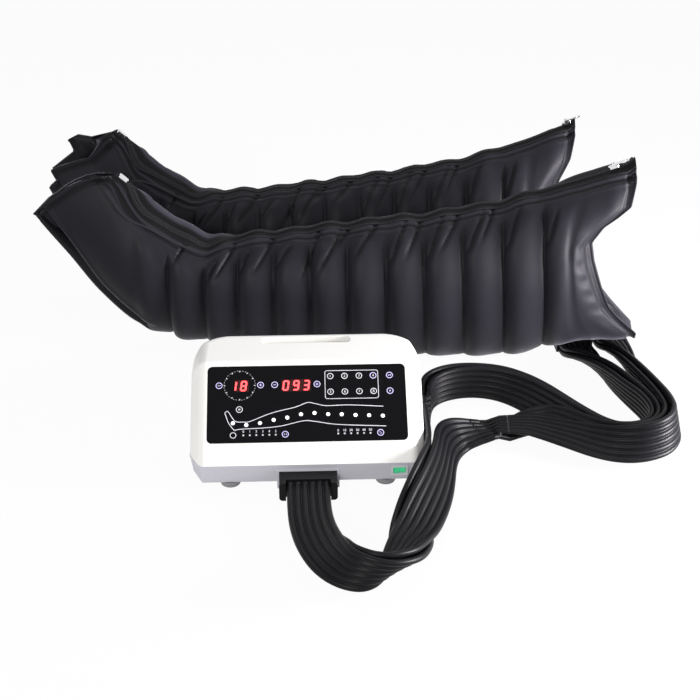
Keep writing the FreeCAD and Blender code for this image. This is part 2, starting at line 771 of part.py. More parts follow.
def displayBoard():
    """Board behind the panel with one small switch under each key."""
    plate = roundedPlate(
        panelWidth - boardMargin, panelHeight - boardMargin, panelCorner, boardBottom, boardTop)
    parts = [plate]
    for u, v in keySpots().values():
        parts.append(block(u - tactHalf, u + tactHalf, v - tactHalf, v + tactHalf, boardTop - partSink, boardTop + tactBody))
        parts.append(rod(Vec(u, v, boardTop), Vec(u, v, boardTop + tactHeight), keyStemRadius))
    parts.append(block(
        -boardPlugHalf, boardPlugHalf, boardPlugRows[0], boardPlugRows[1],
        boardBottom - boardPlugHeight, boardBottom + partSink))
    board = joined(parts)
    return onPanel(board.cut(spotRods(boardSpots(), boardScrewShank + 0.1, boardBottom - 1, boardTop + 1)))


# Main board on posts over the tray floor
def mainBoardSpots():
    return [(x, y) for x in (mainBoardX[0] + mainBoardInset, mainBoardX[1] - mainBoardInset)
            for y in (mainBoardY[0] + mainBoardInset, mainBoardY[1] - mainBoardInset)]


def mainBoard():
    top = mainBoardZ + boardThick
    parts = [block(mainBoardX[0], mainBoardX[1], mainBoardY[0], mainBoardY[1], mainBoardZ, top)]
    for x, y, width, depth, height in boardParts:
        parts.append(block(
            x - width / 2, x + width / 2, y - depth / 2, y + depth / 2, top - partSink, top + height))
    for x, y in capacitorSpots:
        parts.append(Part.makeCylinder(capacitorRadius, capacitorHeight, Vec(x, y, top - partSink)))
    board = joined(parts)
    return board.cut([Part.makeCylinder(boardScrewShank + 0.1, 6, Vec(x, y, mainBoardZ - 2))
                      for x, y in mainBoardSpots()])


def boardScrews():
    screws = []
    for u, v in boardSpots():
        headLow = Vec(u, v, boardBottom - boardScrewHeadThick)
        head = Part.makeCylinder(boardScrewHead, boardScrewHeadThick, headLow)
        shank = Part.makeCylinder(boardScrewShank, boardScrewLength, Vec(u, v, boardBottom))
        screws.append(onPanel(head.fuse(shank)))
    top = mainBoardZ + boardThick
    for x, y in mainBoardSpots():
        head = Part.makeCylinder(boardScrewHead, boardScrewHeadThick, Vec(x, y, top))
        shank = Part.makeCylinder(boardScrewShank, mainScrewLength, Vec(x, y, top - mainScrewLength))
        screws.append(head.fuse(shank))
    return screws


# Power switch in the tray's front wall
def switchBox(grow, front, rear):
    return block(
        switchX - switchWidth / 2 - grow, switchX + switchWidth / 2 + grow, front, rear,
        switchZ - switchHeight / 2 - grow, switchZ + switchHeight / 2 + grow)


def switchBezel():
    front = coverFrontY - bezelProud
    rear = coverFrontY + bezelDepth
    body = switchBox(0, coverFrontY, rear)
    flange = switchBox(bezelRim, front, front + bezelRimThick)
    innerHalf = rockerHalf + rockerClear
    innerHeight = rockerHeight / 2 + rockerClear
    cavity = block(
        switchX - innerHalf, switchX + innerHalf, front - 1, rear - 2,
        switchZ - innerHeight, switchZ + innerHeight)
    pinY = coverFrontY + rockerBack
    halfHole = switchHeight / 2 - pinEndWall / 2
    pin = rod(Vec(switchX, pinY, switchZ - halfHole), Vec(switchX, pinY, switchZ + halfHole),
              switchPinRadius + pinClear)
    return body.fuse(flange).removeSplitter().cut([cavity, pin])


def switchRocker():
    """Rocker with a shallow V face, turning on an upright pin, resting switched on."""
    low = switchZ - rockerHeight / 2
    points = [Vec(x, y, low) for x, y in rockerShape]
    prism = Part.Face(Part.makePolygon(points + [points[0]])).extrude(Vec(0, 0, rockerHeight))
    sweepRound = Part.makeCylinder(rockerHalf, rockerHeight, Vec(0, 0, low))
    halfPin = switchHeight / 2 - pinEndWall
    pin = rod(Vec(0, 0, switchZ - halfPin), Vec(0, 0, switchZ + halfPin), switchPinRadius)
    rocker = prism.common(sweepRound).fuse(pin).removeSplitter()
    rocker.rotate(Vec(0, 0, 0), Vec(0, 0, 1), rockerTilt)
    rocker.translate(Vec(switchX, coverFrontY + rockerBack, 0))
    return rocker


# Socket, plug and air passages
def layerHeights():
    middle = pairRoute[0][2]
    return (middle - layerRise, middle + layerRise)


def tubeColumns():
    return [(i - (tubeCount - 1) / 2) * mainPitch for i in range(tubeCount)]


def hollowNipple(x, z, y0, y1):
    return rod(Vec(x, y0, z), Vec(x, y1, z), nippleRadius)


def hoseSocket():
    half = plugWidth / 2 + socketSide
    plate = block(-half, half, plateFrontY, plateRearY, plugBottomZ + 1.5, socketTopZ)
    rim = block(-half, half, socketRimY, plateFrontY + 0.5, plugBottomZ + 1.5, socketTopZ)
    rimHole = block(
        -plugWidth / 2 - seatClear, plugWidth / 2 + seatClear, socketRimY - 1, plateFrontY,
        0, plugTopZ + seatClear)
    parts = [plate.fuse(rim).cut(rimHole)]
    for x in tubeColumns():
        parts += [hollowNipple(x, z, plateFrontY - nippleLength, plateFrontY + 1) for z in layerHeights()]
        parts += [hollowNipple(x, z, plateRearY - 1, plateRearY + nippleLength) for z in rearNippleHeights]
    socket = joined(parts)
    bores = []
    for x in tubeColumns():
        bores += [rod(Vec(x, plateFrontY - nippleLength, z), Vec(x, plateFrontY + 2, z), nippleBore)
                  for z in layerHeights()]
    return socket.cut(bores)


def hosePlug():
    half = plugWidth / 2
    body = block(-half, half, plugFrontY, plateFrontY, plugBottomZ, plugTopZ)
    along = [e for e in body.Edges
             if abs(e.Vertexes[0].X - e.Vertexes[-1].X) < 1e-3 and abs(e.Vertexes[0].Z - e.Vertexes[-1].Z) < 1e-3]
    body = body.makeFillet(plugCorner, along)
    cuts = [block(-plugMouthHalf, plugMouthHalf, plugFrontY - 1, plugMouthY, 0, plugTopZ + 1)]
    for side in (-1, 1):
        x = side * half
        deep = x - side * plugNotchDepth
        cuts.append(block(min(x, deep), max(x, deep), *plugNotch))
    for x in tubeColumns():
        cuts += [rod(Vec(x, plateFrontY + 1, z), Vec(x, plateFrontY - nippleLength - 0.5, z), nippleRadius)
                 for z in layerHeights()]
    return body.cut(cuts)


def airLines():
    lines = []
    for x in tubeColumns():
        for z in rearNippleHeights:
            tube = rod(Vec(x, plateRearY, z), Vec(x, valveFrontY, z), nippleRadius + airLineWall)
            lines.append(tube.cut(rod(Vec(x, plateRearY - 1, z), Vec(x, valveFrontY + 1, z), nippleRadius)))
    return lines


def valveBlock():
    half = tubeColumns()[-1] + valveRadius + valveMargin
    parts = [block(-half, half, valveFrontY, valveRearY, trayFootZ + trayFloor, valveTopZ)]
    for x in tubeColumns():
        parts += [rod(Vec(x, valveFrontY - nippleLength, z), Vec(x, valveFrontY + 1, z), nippleRadius)
                  for z in rearNippleHeights]
    return joined(parts)


def solenoidValves():
    valves = []
    for x in tubeColumns():
        for y in (valveFrontY + valveRowInset, valveRearY - valveRowInset):
            coil = Part.makeCylinder(valveRadius, valveHeight, Vec(x, y, valveTopZ))
            valves.append(coil)
    return valves


def mainsInlet():
    half = inletWidth / 2
    rear = coverRearY + inletRim
    top = inletLowZ + inletHeight
    body = block(inletX - half, inletX + half, rear - inletDepth, rear - inletRim / 2, inletLowZ, top)
    flange = block(
        inletX - half - inletRim, inletX + half + inletRim, rear - inletRim, rear,
        inletLowZ - inletRim, top + inletRim)
    cavity = block(
        inletX - half + inletWall, inletX + half - inletWall, rear - inletDepth + inletWall, rear + 1,
        inletLowZ + inletWall, top - inletWall)
    inlet = body.fuse(flange).removeSplitter().cut(cavity)
    pins = []
    for x, z in inletPins:
        pins.append(block(
            inletX + x - inletPinWide / 2, inletX + x + inletPinWide / 2,
            rear - inletDepth + inletWall - 1, rear - inletWall - 1,
            inletLowZ + z - inletPinHigh / 2, inletLowZ + z + inletPinHigh / 2))
    return joined([inlet] + pins)


# Compressor and transformer
def compressorBody():
    start = Vec(compressorX - motorLength / 2, compressorY, compressorZ)
    end = Vec(compressorX + motorLength / 2, compressorY, compressorZ)
    motor = rod(start, end, motorRadius)
    low = trayFootZ + trayFloor + mountHeight
    reach = motorLength / 2 - motorFootInset
    foot = block(
        compressorX - reach, compressorX + reach, compressorY - motorRadius, compressorY + motorRadius,
        low, compressorZ - motorRadius + mountHeight - 2)
    return joined([motor, foot])


def compressorHeads():
    heads = []
    for side in (-1, 1):
        near = compressorX + side * motorLength / 2
        far = near + side * headThick
        reach = motorRadius - headInset
        head = block(
            min(near, far), max(near, far), compressorY - reach, compressorY + reach,
            compressorZ - reach, compressorZ + reach)
        spout = rod(
            Vec((near + far) / 2, compressorY, compressorZ + reach - 1),
            Vec((near + far) / 2, compressorY, compressorZ + reach + spoutHeight), spoutRadius)
        heads.append(joined([head, spout]))
    return heads


def compressorMounts():
    low = trayFootZ + trayFloor
    mounts = []
    for sx in (-1, 1):
        for sy in (-1, 1):
            x = compressorX + sx * (motorLength / 2 - mountInset)
            y = compressorY + sy * (motorRadius - mountRadius - 2)
            mounts.append(Part.makeCylinder(mountRadius, mountHeight, Vec(x, y, low)))
    return mounts


def transformer():
    low = trayFootZ + trayFloor
    top = low + coreHeight
    left, right = coreX
    front, rear = coreY
    core = block(left, right, front, rear, low, top)
    window = block(
        left + coreLeg, right - coreLeg, front - 1, rear + 1, low + coreYoke, top - coreYoke)
    inner = coreLeg + coilGap
    coil = block(
        left + inner, right - inner, front - coilOver, rear + coilOver,
        low + coreYoke + coilGap, top - coreYoke - coilGap)
    middle = (left + right) / 2
    tongue = block(middle - coreMiddle / 2, middle + coreMiddle / 2, front + 2, rear - 2, low, top)
    return joined([core.cut(window), coil, tongue])


# Ribbon hoses
def ribbonFrames(route):
    """Points, and the directions across and out of the ribbon at each."""
    points = [Vec(x, y, z) for x, y, z, roll in route]
    last = len(points) - 1
    frames = []
    for i, item in enumerate(route):
        along = points[min(i + 1, last)].sub(points[max(i - 1, 0)]).normalize()
        side = along.cross(Vec(0, 0, 1)).normalize()
        lift = side.cross(along)
        roll = math.radians(item[3])
        across = side * math.cos(roll) + lift * math.sin(roll)
        frames.append((points[i], along, across, across.cross(along)))
    return frames


def tubePoints(route, index, pitch, rises):
    """Control points of one tube of a ribbon."""
    offset = (index - (tubeCount - 1) / 2) * pitch
    return [point + across * offset + out * rise
            for (point, along, across, out), rise in zip(ribbonFrames(route), rises)]


def smoothPath(points):
    """Straight runs joined by tangent arcs, and the arc radii."""
    edges = []
    radii = []
    here = points[0]
    for before, corner, after in zip(points, points[1:], points[2:]):
        back = before.sub(corner)
        ahead = after.sub(corner)
        halfTurn = (math.pi - back.getAngle(ahead)) / 2
        reach = bendShare * min(back.Length, ahead.Length)
        back.normalize()
        ahead.normalize()
        radius = reach / math.tan(halfTurn)
        start = corner + back * reach
        end = corner + ahead * reach
        inward = (back + ahead).normalize()
        middle = corner + inward * (radius / math.cos(halfTurn) - radius)
        edges.append(Part.LineSegment(here, start).toShape())
        edges.append(Part.Arc(start, middle, end).toShape())
        radii.append(radius)
        here = end
    edges.append(Part.LineSegment(here, points[-1]).toShape())
    return Part.Wire(edges), radii


def ribbon(name, route, radius, pitch, rises):
    """All tubes of one ribbon, each its own solid."""
    tubes = []
    smallest = 1e9
    share = 0.0
    longest = 0.0
    for index in range(tubeCount):
        points = tubePoints(route, index, pitch, rises)
        path, radii = smoothPath(points)
        circle = Part.Wire([Part.makeCircle(radius, points[0], points[1].sub(points[0]))])
        tube = path.makePipeShell([circle], True, False)
        if tube.Volume < 0:
            tube.reverse()
        tubes.append(tube)
        smallest = min(smallest, min(radii))
        share = max(share, abs(tube.Volume / (math.pi * radius ** 2 * path.Length) - 1))
        longest = max(longest, path.Length)
    middle = tubePoints(route, (tubeCount - 1) / 2, pitch, [0] * len(route))
    centre, radii = smoothPath(middle)
    print(name, "centre length %.1f, longest tube %.1f, centre radii %s, smallest tube radius %.1f, volume error %.4f" % (
        centre.Length, longest, [round(r) for r in radii], smallest, share))
    return tubes


def endOf(route, index, pitch, last):
    """One tube's end point and its direction of travel there."""
    points = tubePoints(route, index, pitch, [0] * len(route))
    if last:
        return points[-1], points[-1].sub(points[-2]).normalize()
    return points[0], points[1].sub(points[0]).normalize()


def ringedCollar(start, run, length, radius):
    """Plain collar with raised rings."""
    parts = [rod(start, start + run * length, radius - ringRise)]
    count = int(length / (2 * ringWidth))
    for i in range(count):
        low = start + run * (length * (i + 0.5) / count - ringWidth / 2)
        parts.append(rod(low, low + run * ringWidth, radius))
    return parts


def splitter(inlet, inRun, outlets, inLength, outLength, barrel):
    """Y coupler: ringed inlet collar, barrel, fork and two ringed outlet collars."""
    neck = inlet + inRun * inLength
    backs = [point - run * outLength for point, run in outlets]
    middle = (backs[0] + backs[1]) * 0.5
    fork = neck + (middle - neck) * barrel
    small = branchTubeRadius
    parts = ringedCollar(inlet, inRun, inLength, collarRadius)
    parts.append(jointRod(neck, fork, barrelRadius))
    for (point, run), back in zip(outlets, backs):
        parts.append(jointRod(fork, back, forkRadius))
        parts += ringedCollar(back, run, outLength, small + ringRise)
    return joined(parts)


def splitters(inletRoute, outletRoutes, inLength, outLength, barrel):
    pieces = []
    for index in range(tubeCount):
        inlet, inRun = endOf(inletRoute, index, mainPitch, True)
        outlets = [endOf(route, index, branchPitch, False) for route in outletRoutes]
        pieces.append(splitter(inlet, inRun, outlets, inLength, outLength, barrel))
    return pieces


# Leg sleeves
def sectionOval(section, share, seam):
    """Closed smooth curve through points of an ellipse, starting at the seam's turn from the ridge."""
    lowX, lowZ, highX, highZ, half = section
    high = Vec(highX, 0, highZ)
    centre = (Vec(lowX, 0, lowZ) + high) * 0.5
    points = []
    for i in range(ovalPoints):
        turn = seam + 2 * math.pi * i / ovalPoints
        up = (high - centre) * (share * math.cos(turn))
        points.append(centre + up + Vec(0, half * share * math.sin(turn), 0))
    curve = Part.BSplineCurve()
    curve.interpolate(Points=points, PeriodicFlag=True)
    return Part.Wire([curve.toShape()])


def sleeveLoft(share, seam=math.pi):
    """Smooth shape through the ovals, from the thigh to the toe."""
    return Part.makeLoft([sectionOval(section, share, seam) for section in sleeveSections], True, False)


def toSleeve(shape, shift):
    """Turn from the straight frame to the sleeve's place on the floor."""
    shape = shape.copy()
    shape.rotate(Vec(0, 0, 0), Vec(0, 0, 1), sleeveTurn)
    shape.translate(Vec(shift[0], sleeveRowY + shift[1], 0))
    return shape


def sleeveShell():
    inner = sleeveLoft(legGapShare)
    ends = []
    for section, way in ((sleeveSections[0], 1), (sleeveSections[-1], -1)):
        lowX, lowZ, highX, highZ, half = section
        beyond = Vec(highZ - lowZ, 0, lowX - highX).normalize() * (way * endCut)
        ends.append(Part.Face(sectionOval(section, legGapShare, math.pi)).extrude(beyond))
    outer = sleeveLoft(1)
    span = outer.BoundBox
    under = block(
        span.XMin, span.XMax, span.YMin, span.YMax, min(span.ZMin, -1.0) - 1, 0)
    return outer.cut([inner, under] + ends)


def zipperLine():
    """Straight stretch of the zipper at the thigh: its end and its direction to the toe."""
    end = Vec(sleeveSections[0][2], 0, sleeveSections[0][3])
    second = Vec(sleeveSections[1][2], 0, sleeveSections[1][3])
    return end, second.sub(end).normalize()


def ridgePoints():
    """Points on the ridge, taken from the seam of a loft that starts there."""
    whole = sleeveLoft(1, 0)
    first = Vec(sleeveSections[0][2], 0, sleeveSections[0][3])
    openEdges = [e for e in whole.Edges if not e.isClosed()]
    seam = max(openEdges, key=lambda e: e.Length)
    points = seam.discretize(tapePoints)
    if points[0].distanceToPoint(first) > points[-1].distanceToPoint(first):
        points.reverse()
    return points


def zipperTape(body):
    """Tape along the ridge, trimmed to lie on the sleeve."""
    ridge = ridgePoints()
    sides = []
    for rise in (tapeRise, -tapeSink):
        curve = Part.BSplineCurve()
        curve.interpolate([point + Vec(0, -tapeHalf, rise) for point in ridge])
        sides.append(curve.toShape())
    ends = []
    for index in (0, -1):
        low = ridge[index] + Vec(0, -tapeHalf, -tapeSink)
        ends.append(Part.makeLine(low, low + Vec(0, 0, tapeSink + tapeRise)))
    face = Part.Face(Part.Wire([sides[0], ends[1], sides[1], ends[0]]))
    strip = face.extrude(Vec(0, 2 * tapeHalf, 0))
    if strip.Volume < 0:
        strip.reverse()
    tape = strip.cut(body)
    return max(tape.Solids, key=lambda solid: solid.Volume)


def onZipper(shape, along):
    """From x up the zipper to the thigh, z off the tape, to the sleeve's straight frame."""
    end, run = zipperLine()
    turn = math.degrees(math.atan2(-run.z, run.x))
    shape.rotate(Vec(0, 0, 0), Vec(0, 1, 0), turn - 180)
    spot = end + run * along + Vec(0, 0, tapeRise)
    shape.translate(spot)
    return shape


def sliderBody(gap):
    half = sliderLength / 2
    body = block(-half, half, -sliderWidth / 2, sliderWidth / 2, gap, gap + sliderHeight)
    upright = [e for e in body.Edges if abs(e.Vertexes[0].Z - e.Vertexes[-1].Z) > 1e-6]
    return body.makeFillet(sliderCorner, upright)


def zipperSlider():
    """Slider with two lugs that carry the pull's pin."""
    parts = [sliderBody(sliderGap)]
    for side in (-1, 1):
        near = side * (pullWidth / 2 + lugGap)
        far = near + side * lugThick
        parts.append(block(
            -lugHalf, lugHalf, min(near, far), max(near, far), sliderGap + sliderHeight - 0.5, pinZ + 2))
    slider = joined(parts)
    hole = rod(Vec(0, -sliderWidth, pinZ), Vec(0, sliderWidth, pinZ), pinRadius + pinClear)
    return onZipper(slider.cut(hole), sliderFromThigh)


def zipperPull():
    """Flat tab on a pin through the slider's lugs."""
    pin = rod(Vec(0, -sliderWidth / 2 - 0.2, pinZ), Vec(0, sliderWidth / 2 + 0.2, pinZ), pinRadius)
    half = pullWidth / 2
    tab = block(0, pullLength, -half, half, pinZ - pullThick / 2, pinZ + pullThick / 2)
    spot = Vec(pullLength - pullHoleInset, 0, pinZ - pullThick)
    tab = tab.cut(Part.makeCylinder(pullHole, 2 * pullThick, spot))
    return onZipper(joined([pin, tab]), sliderFromThigh)


def toeSlider(tape):
    """Slider parked at the toe end of the zipper."""
    toe = Vec(sleeveSections[-1][2], 0, sleeveSections[-1][3])
    before = Vec(sleeveSections[-2][2], 0, sleeveSections[-2][3])
    run = before.sub(toe).normalize()
    slider = sliderBody(0)
    slider.rotate(Vec(0, 0, 0), Vec(0, 1, 0), math.degrees(math.atan2(-run.z, run.x)))
    slider.translate(toe + run * (sliderLength / 2 + 3) + Vec(0, 0, tapeRise))
    return slider.cut(tape)


def hosePort(body, shift):
    """Block under the sleeve that takes the two ribbons' ends."""
    endY = nearRouteA[-1][1] + shift[1]
    middle = portX + shift[0]
    port = block(
        middle - portWidth / 2, middle + portWidth / 2, endY, endY + portDepth, floorGap, portTopZ)
    port = port.cut(body)
    return max(port.Solids, key=lambda solid: solid.Volume)


# Write every node
save("top_cover", topCover())
save("base_tray", baseTray())
save("rubber_feet", rubberFeet())
save("cover_screws", coverScrews())
save("control_panel", controlPanel())
save("time_display", onPanel(panelBox(timeCentreShare, timeSizeShare, boardTop, -0.1, 0)))
save("pressure_display", onPanel(panelBox(pressureCentreShare, pressureSizeShare, boardTop, -0.1, 0)))
save("mode_lamps", lampSet(modeSpots(), modeLampRadius))
save("chamber_lamps", lampSet(chamberSpots(), chamberDotRadius))
save("hold_lamps", lampSet(dotRow(holdDotStart), smallDotRadius))
save("interval_lamps", lampSet(dotRow(intervalDotStart), smallDotRadius))
for name, spot in keySpots().items():
    save(name, panelKey(spot))
save("display_board", displayBoard())
save("main_board", mainBoard())
save("board_screws", boardScrews())
save("switch_bezel", switchBezel())
save("switch_rocker", switchRocker())
save("hose_socket", hoseSocket())
save("hose_plug", hosePlug())
save("air_lines", airLines())
save("valve_block", valveBlock())
save("solenoid_valves", solenoidValves())
save("mains_inlet", mainsInlet())
save("fan_guard", fanGuard())
save("fan_frame", fanFrame())
save("fan_rotor", fanRotor())
save("fan_screws", fanScrews())
save("compressor_body", compressorBody())
save("compressor_heads", compressorHeads())
save("compressor_mounts", compressorMounts())
save("transformer", transformer())

pairCount = len(pairRoute)
frontFull = pairRoute + frontRoute
rearFull = pairRoute + rearRoute
frontRises = [-layerRise] * pairCount + [0] * len(frontRoute)
rearRises = [layerRise] * pairCount + [0] * len(rearRoute)
save("main_hose_front", ribbon("main_hose_front", frontFull, mainTubeRadius, mainPitch, frontRises))
save("main_hose_rear", ribbon("main_hose_rear", rearFull, mainTubeRadius, mainPitch, rearRises))
for name, route in (
        ("far_hose_a", farRouteA), ("far_hose_b", farRouteB),
        ("near_hose_a", nearRouteA), ("near_hose_b", nearRouteB)):
    save(name, ribbon(name, route, branchTubeRadius, branchPitch, [0] * len(route)))
save("hose_splitters_front", splitters(frontFull, (farRouteA, farRouteB), collarLength, outletCollar, frontBarrelShare))
save("hose_splitters_rear", splitters(
    rearFull, (nearRouteA, nearRouteB), rearCollarShare * collarLength, rearOutletShare * outletCollar,
    rearBarrelShare))

straightBody = sleeveShell()
straightTape = zipperTape(straightBody)
for side, shift in (("near", (0.0, 0.0)), ("far", farSleeveShift)):
    placed = toSleeve(straightBody, shift)
    save(side + "_sleeve", placed)
    save(side + "_zipper_tape", toSleeve(straightTape, shift))
    save(side + "_zipper_slider", toSleeve(zipperSlider(), shift))
    save(side + "_zipper_pull", toSleeve(zipperPull(), shift))
    save(side + "_toe_slider", toSleeve(toeSlider(straightTape), shift))
    save(side + "_hose_port", hosePort(placed, shift))
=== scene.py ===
import math
import bpy
import numpy as np
from mathutils import Matrix, Vector


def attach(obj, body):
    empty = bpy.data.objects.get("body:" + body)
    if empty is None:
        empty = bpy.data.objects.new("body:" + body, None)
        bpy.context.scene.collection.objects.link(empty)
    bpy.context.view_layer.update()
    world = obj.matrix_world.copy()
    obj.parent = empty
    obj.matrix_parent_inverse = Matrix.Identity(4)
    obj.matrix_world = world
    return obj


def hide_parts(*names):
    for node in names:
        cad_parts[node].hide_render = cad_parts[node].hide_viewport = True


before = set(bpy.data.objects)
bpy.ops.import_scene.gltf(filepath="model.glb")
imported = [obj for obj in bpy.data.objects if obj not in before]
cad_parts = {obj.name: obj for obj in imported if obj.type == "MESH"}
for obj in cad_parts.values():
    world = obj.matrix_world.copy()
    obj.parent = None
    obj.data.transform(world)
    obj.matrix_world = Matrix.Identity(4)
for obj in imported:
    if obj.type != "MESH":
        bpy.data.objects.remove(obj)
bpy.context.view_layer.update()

mm = 0.001
mainBody = "pump_set"

# Camera
camera = {
    "place": (0.0003, -1.4636, 0.9473),
    "forward": (0.0360, 0.8785, -0.4764),
    "lens": 62.34,
    "rollDegrees": 0.14,
}
cameraData = bpy.data.cameras.new("viewCamera")
cameraData.sensor_width = 36.0
cameraData.lens = camera["lens"]
cameraData.clip_start = 0.05
cameraData.clip_end = 20.0
cameraObject = bpy.data.objects.new("viewCamera", cameraData)
bpy.context.scene.collection.objects.link(cameraObject)
cameraObject.location = camera["place"]
turn = Vector(camera["forward"]).to_track_quat("-Z", "Y").to_matrix()
rollAngle = math.radians(camera["rollDegrees"])
roll = np.array([[math.cos(rollAngle), -math.sin(rollAngle), 0],
                 [math.sin(rollAngle), math.cos(rollAngle), 0], [0, 0, 1]])
cameraObject.rotation_mode = "QUATERNION"
cameraObject.rotation_quaternion = (turn @ Matrix(roll.tolist())).to_quaternion()
bpy.context.scene.camera = cameraObject


# Materials
def newMaterial(name, spec):
    # Base colour = mix of two tones by noise; roughness = level + spread * noise; bump = noise * depth.
    material = bpy.data.materials.new(name)
    material.use_nodes = True
    nodes = material.node_tree.nodes
    links = material.node_tree.links
    shader = nodes["Principled BSDF"]
    where = nodes.new("ShaderNodeTexCoord")
    noise = nodes.new("ShaderNodeTexNoise")
    noise.inputs["Scale"].default_value = spec.get("scale", 60.0)
    noise.inputs["Detail"].default_value = 4.0
    links.new(where.outputs["Object"], noise.inputs["Vector"])
    tone = nodes.new("ShaderNodeMix")
    tone.data_type = "RGBA"
    tone.inputs["A"].default_value = (*spec["color"], 1.0)
    tone.inputs["B"].default_value = (*spec.get("second", [c * 0.9 for c in spec["color"]]), 1.0)
    links.new(noise.outputs["Fac"], tone.inputs["Factor"])
    links.new(tone.outputs["Result"], shader.inputs["Base Color"])
    rough = nodes.new("ShaderNodeMapRange")
    level = spec.get("rough", 0.4)
    rough.inputs["To Min"].default_value = max(0.02, level - spec.get("spread", 0.06))
    rough.inputs["To Max"].default_value = level + spec.get("spread", 0.06)
    links.new(noise.outputs["Fac"], rough.inputs["Value"])
    links.new(rough.outputs["Result"], shader.inputs["Roughness"])
    grain = nodes.new("ShaderNodeTexNoise")
    grain.inputs["Scale"].default_value = spec.get("grain", 900.0)
    links.new(where.outputs["Object"], grain.inputs["Vector"])
    bump = nodes.new("ShaderNodeBump")
    bump.inputs["Strength"].default_value = spec.get("bump", 0.05)
    bump.inputs["Distance"].default_value = 0.0005
    links.new(grain.outputs["Fac"], bump.inputs["Height"])
    links.new(bump.outputs["Normal"], shader.inputs["Normal"])
    shader.inputs["Metallic"].default_value = spec.get("metal", 0.0)
    shader.inputs["Specular IOR Level"].default_value = spec.get("specular", 0.5)
    shader.inputs["Coat Weight"].default_value = spec.get("coat", 0.0)
    shader.inputs["Coat Roughness"].default_value = spec.get("coatRough", 0.08)
    if "glow" in spec:
        shader.inputs["Emission Color"].default_value = (*spec["glow"], 1.0)
        shader.inputs["Emission Strength"].default_value = spec.get("glowStrength", 1.0)
    return material


finishes = {
    "cover": {"color": (0.86, 0.85, 0.815), "second": (0.83, 0.82, 0.785), "rough": 0.34, "scale": 14,
              "bump": 0.10, "grain": 1400},
    "tray": {"color": (0.52, 0.515, 0.56), "second": (0.49, 0.485, 0.53), "rough": 0.42, "scale": 20,
             "bump": 0.14, "grain": 1300},
    "panel": {"color": (0.0025, 0.0025, 0.003), "second": (0.0035, 0.0035, 0.0045), "rough": 0.16,
              "spread": 0.03, "bump": 0.01, "specular": 0.07},
    # Print finish with a painted glow: its emission lightens the print, though the print is no lamp.
    "printPaintedGlow": {"color": (0.75, 0.75, 0.80), "rough": 0.45, "glow": (0.8, 0.8, 0.9), "glowStrength": 0.12},
    "display": {"color": (0.02, 0.002, 0.002), "rough": 0.18, "specular": 0.25, "glow": (0.5, 0.004, 0.01),
                "glowStrength": 0.035},
    "segment": {"color": (0.9, 0.05, 0.05), "rough": 0.3, "glow": (1.0, 0.055, 0.06), "glowStrength": 4.0},
    "key": {"color": (0.006, 0.006, 0.008), "second": (0.009, 0.009, 0.011), "rough": 0.25,
            "specular": 0.2},
    "keyLit": {"color": (0.55, 0.5, 0.75), "rough": 0.35, "glow": (0.62, 0.55, 1.0), "glowStrength": 0.55},
    "lamp": {"color": (0.9, 0.9, 0.95), "rough": 0.3, "glow": (0.95, 0.95, 1.0), "glowStrength": 0.9},
    "lampOff": {"color": (0.006, 0.006, 0.007), "rough": 0.22, "specular": 0.25},
    "lampDim": {"color": (0.45, 0.45, 0.5), "rough": 0.3, "glow": (0.9, 0.9, 1.0), "glowStrength": 0.25},
    "rubber": {"color": (0.27, 0.27, 0.285), "second": (0.22, 0.22, 0.23), "rough": 0.6, "bump": 0.3},
    "plug": {"color": (0.0045, 0.0045, 0.005), "second": (0.007, 0.007, 0.008), "rough": 0.4, "bump": 0.2,
             "specular": 0.11},
    "hose": {"color": (0.0042, 0.0042, 0.0052), "second": (0.0062, 0.006, 0.0075), "rough": 0.4,
             "spread": 0.05, "scale": 35, "bump": 0.04, "grain": 500, "specular": 0.11},
    "coupler": {"color": (0.005, 0.005, 0.006), "rough": 0.38, "spread": 0.04, "bump": 0.06,
                "specular": 0.11},
    "bezel": {"color": (0.62, 0.62, 0.66), "rough": 0.35},
    "switch": {"color": (0.01, 0.36, 0.15), "second": (0.02, 0.46, 0.20), "rough": 0.2,
               "glow": (0.02, 0.8, 0.3), "glowStrength": 0.25, "coat": 0.4},
    "steel": {"color": (0.55, 0.55, 0.56), "rough": 0.32, "metal": 1.0, "bump": 0.08},
    "chrome": {"color": (0.78, 0.78, 0.80), "rough": 0.16, "metal": 1.0},
    "aluminium": {"color": (0.62, 0.62, 0.63), "rough": 0.45, "metal": 1.0, "bump": 0.3},
    "board": {"color": (0.012, 0.085, 0.035), "second": (0.02, 0.11, 0.05), "rough": 0.4},
    "motor": {"color": (0.06, 0.06, 0.065), "rough": 0.45, "bump": 0.3},
    "clearTube": {"color": (0.62, 0.62, 0.58), "rough": 0.25},
}
materials = {name: newMaterial(name, spec) for name, spec in finishes.items()}

nodeFinish = {
    "top_cover": "cover", "base_tray": "tray", "rubber_feet": "rubber", "cover_screws": "steel",
    "control_panel": "panel", "time_display": "display", "pressure_display": "display",
    "mode_lamps": "lampOff", "chamber_lamps": "lamp", "hold_lamps": "lampDim", "interval_lamps": "lampDim",
    "display_board": "board", "main_board": "board", "board_screws": "steel",
    "switch_bezel": "bezel", "switch_rocker": "switch", "hose_socket": "tray", "hose_plug": "plug",
    "air_lines": "clearTube", "valve_block": "plug", "solenoid_valves": "steel", "mains_inlet": "plug",
    "fan_guard": "steel", "fan_frame": "plug", "fan_rotor": "plug", "fan_screws": "steel",
    "compressor_body": "motor", "compressor_heads": "aluminium", "compressor_mounts": "rubber",
    "transformer": "motor", "hose_splitters_front": "coupler", "hose_splitters_rear": "coupler",
    "near_hose_port": "plug", "far_hose_port": "plug",
    "near_zipper_slider": "chrome", "far_zipper_slider": "chrome",
    "near_zipper_pull": "chrome", "far_zipper_pull": "chrome",
    "near_toe_slider": "chrome", "far_toe_slider": "chrome",
}
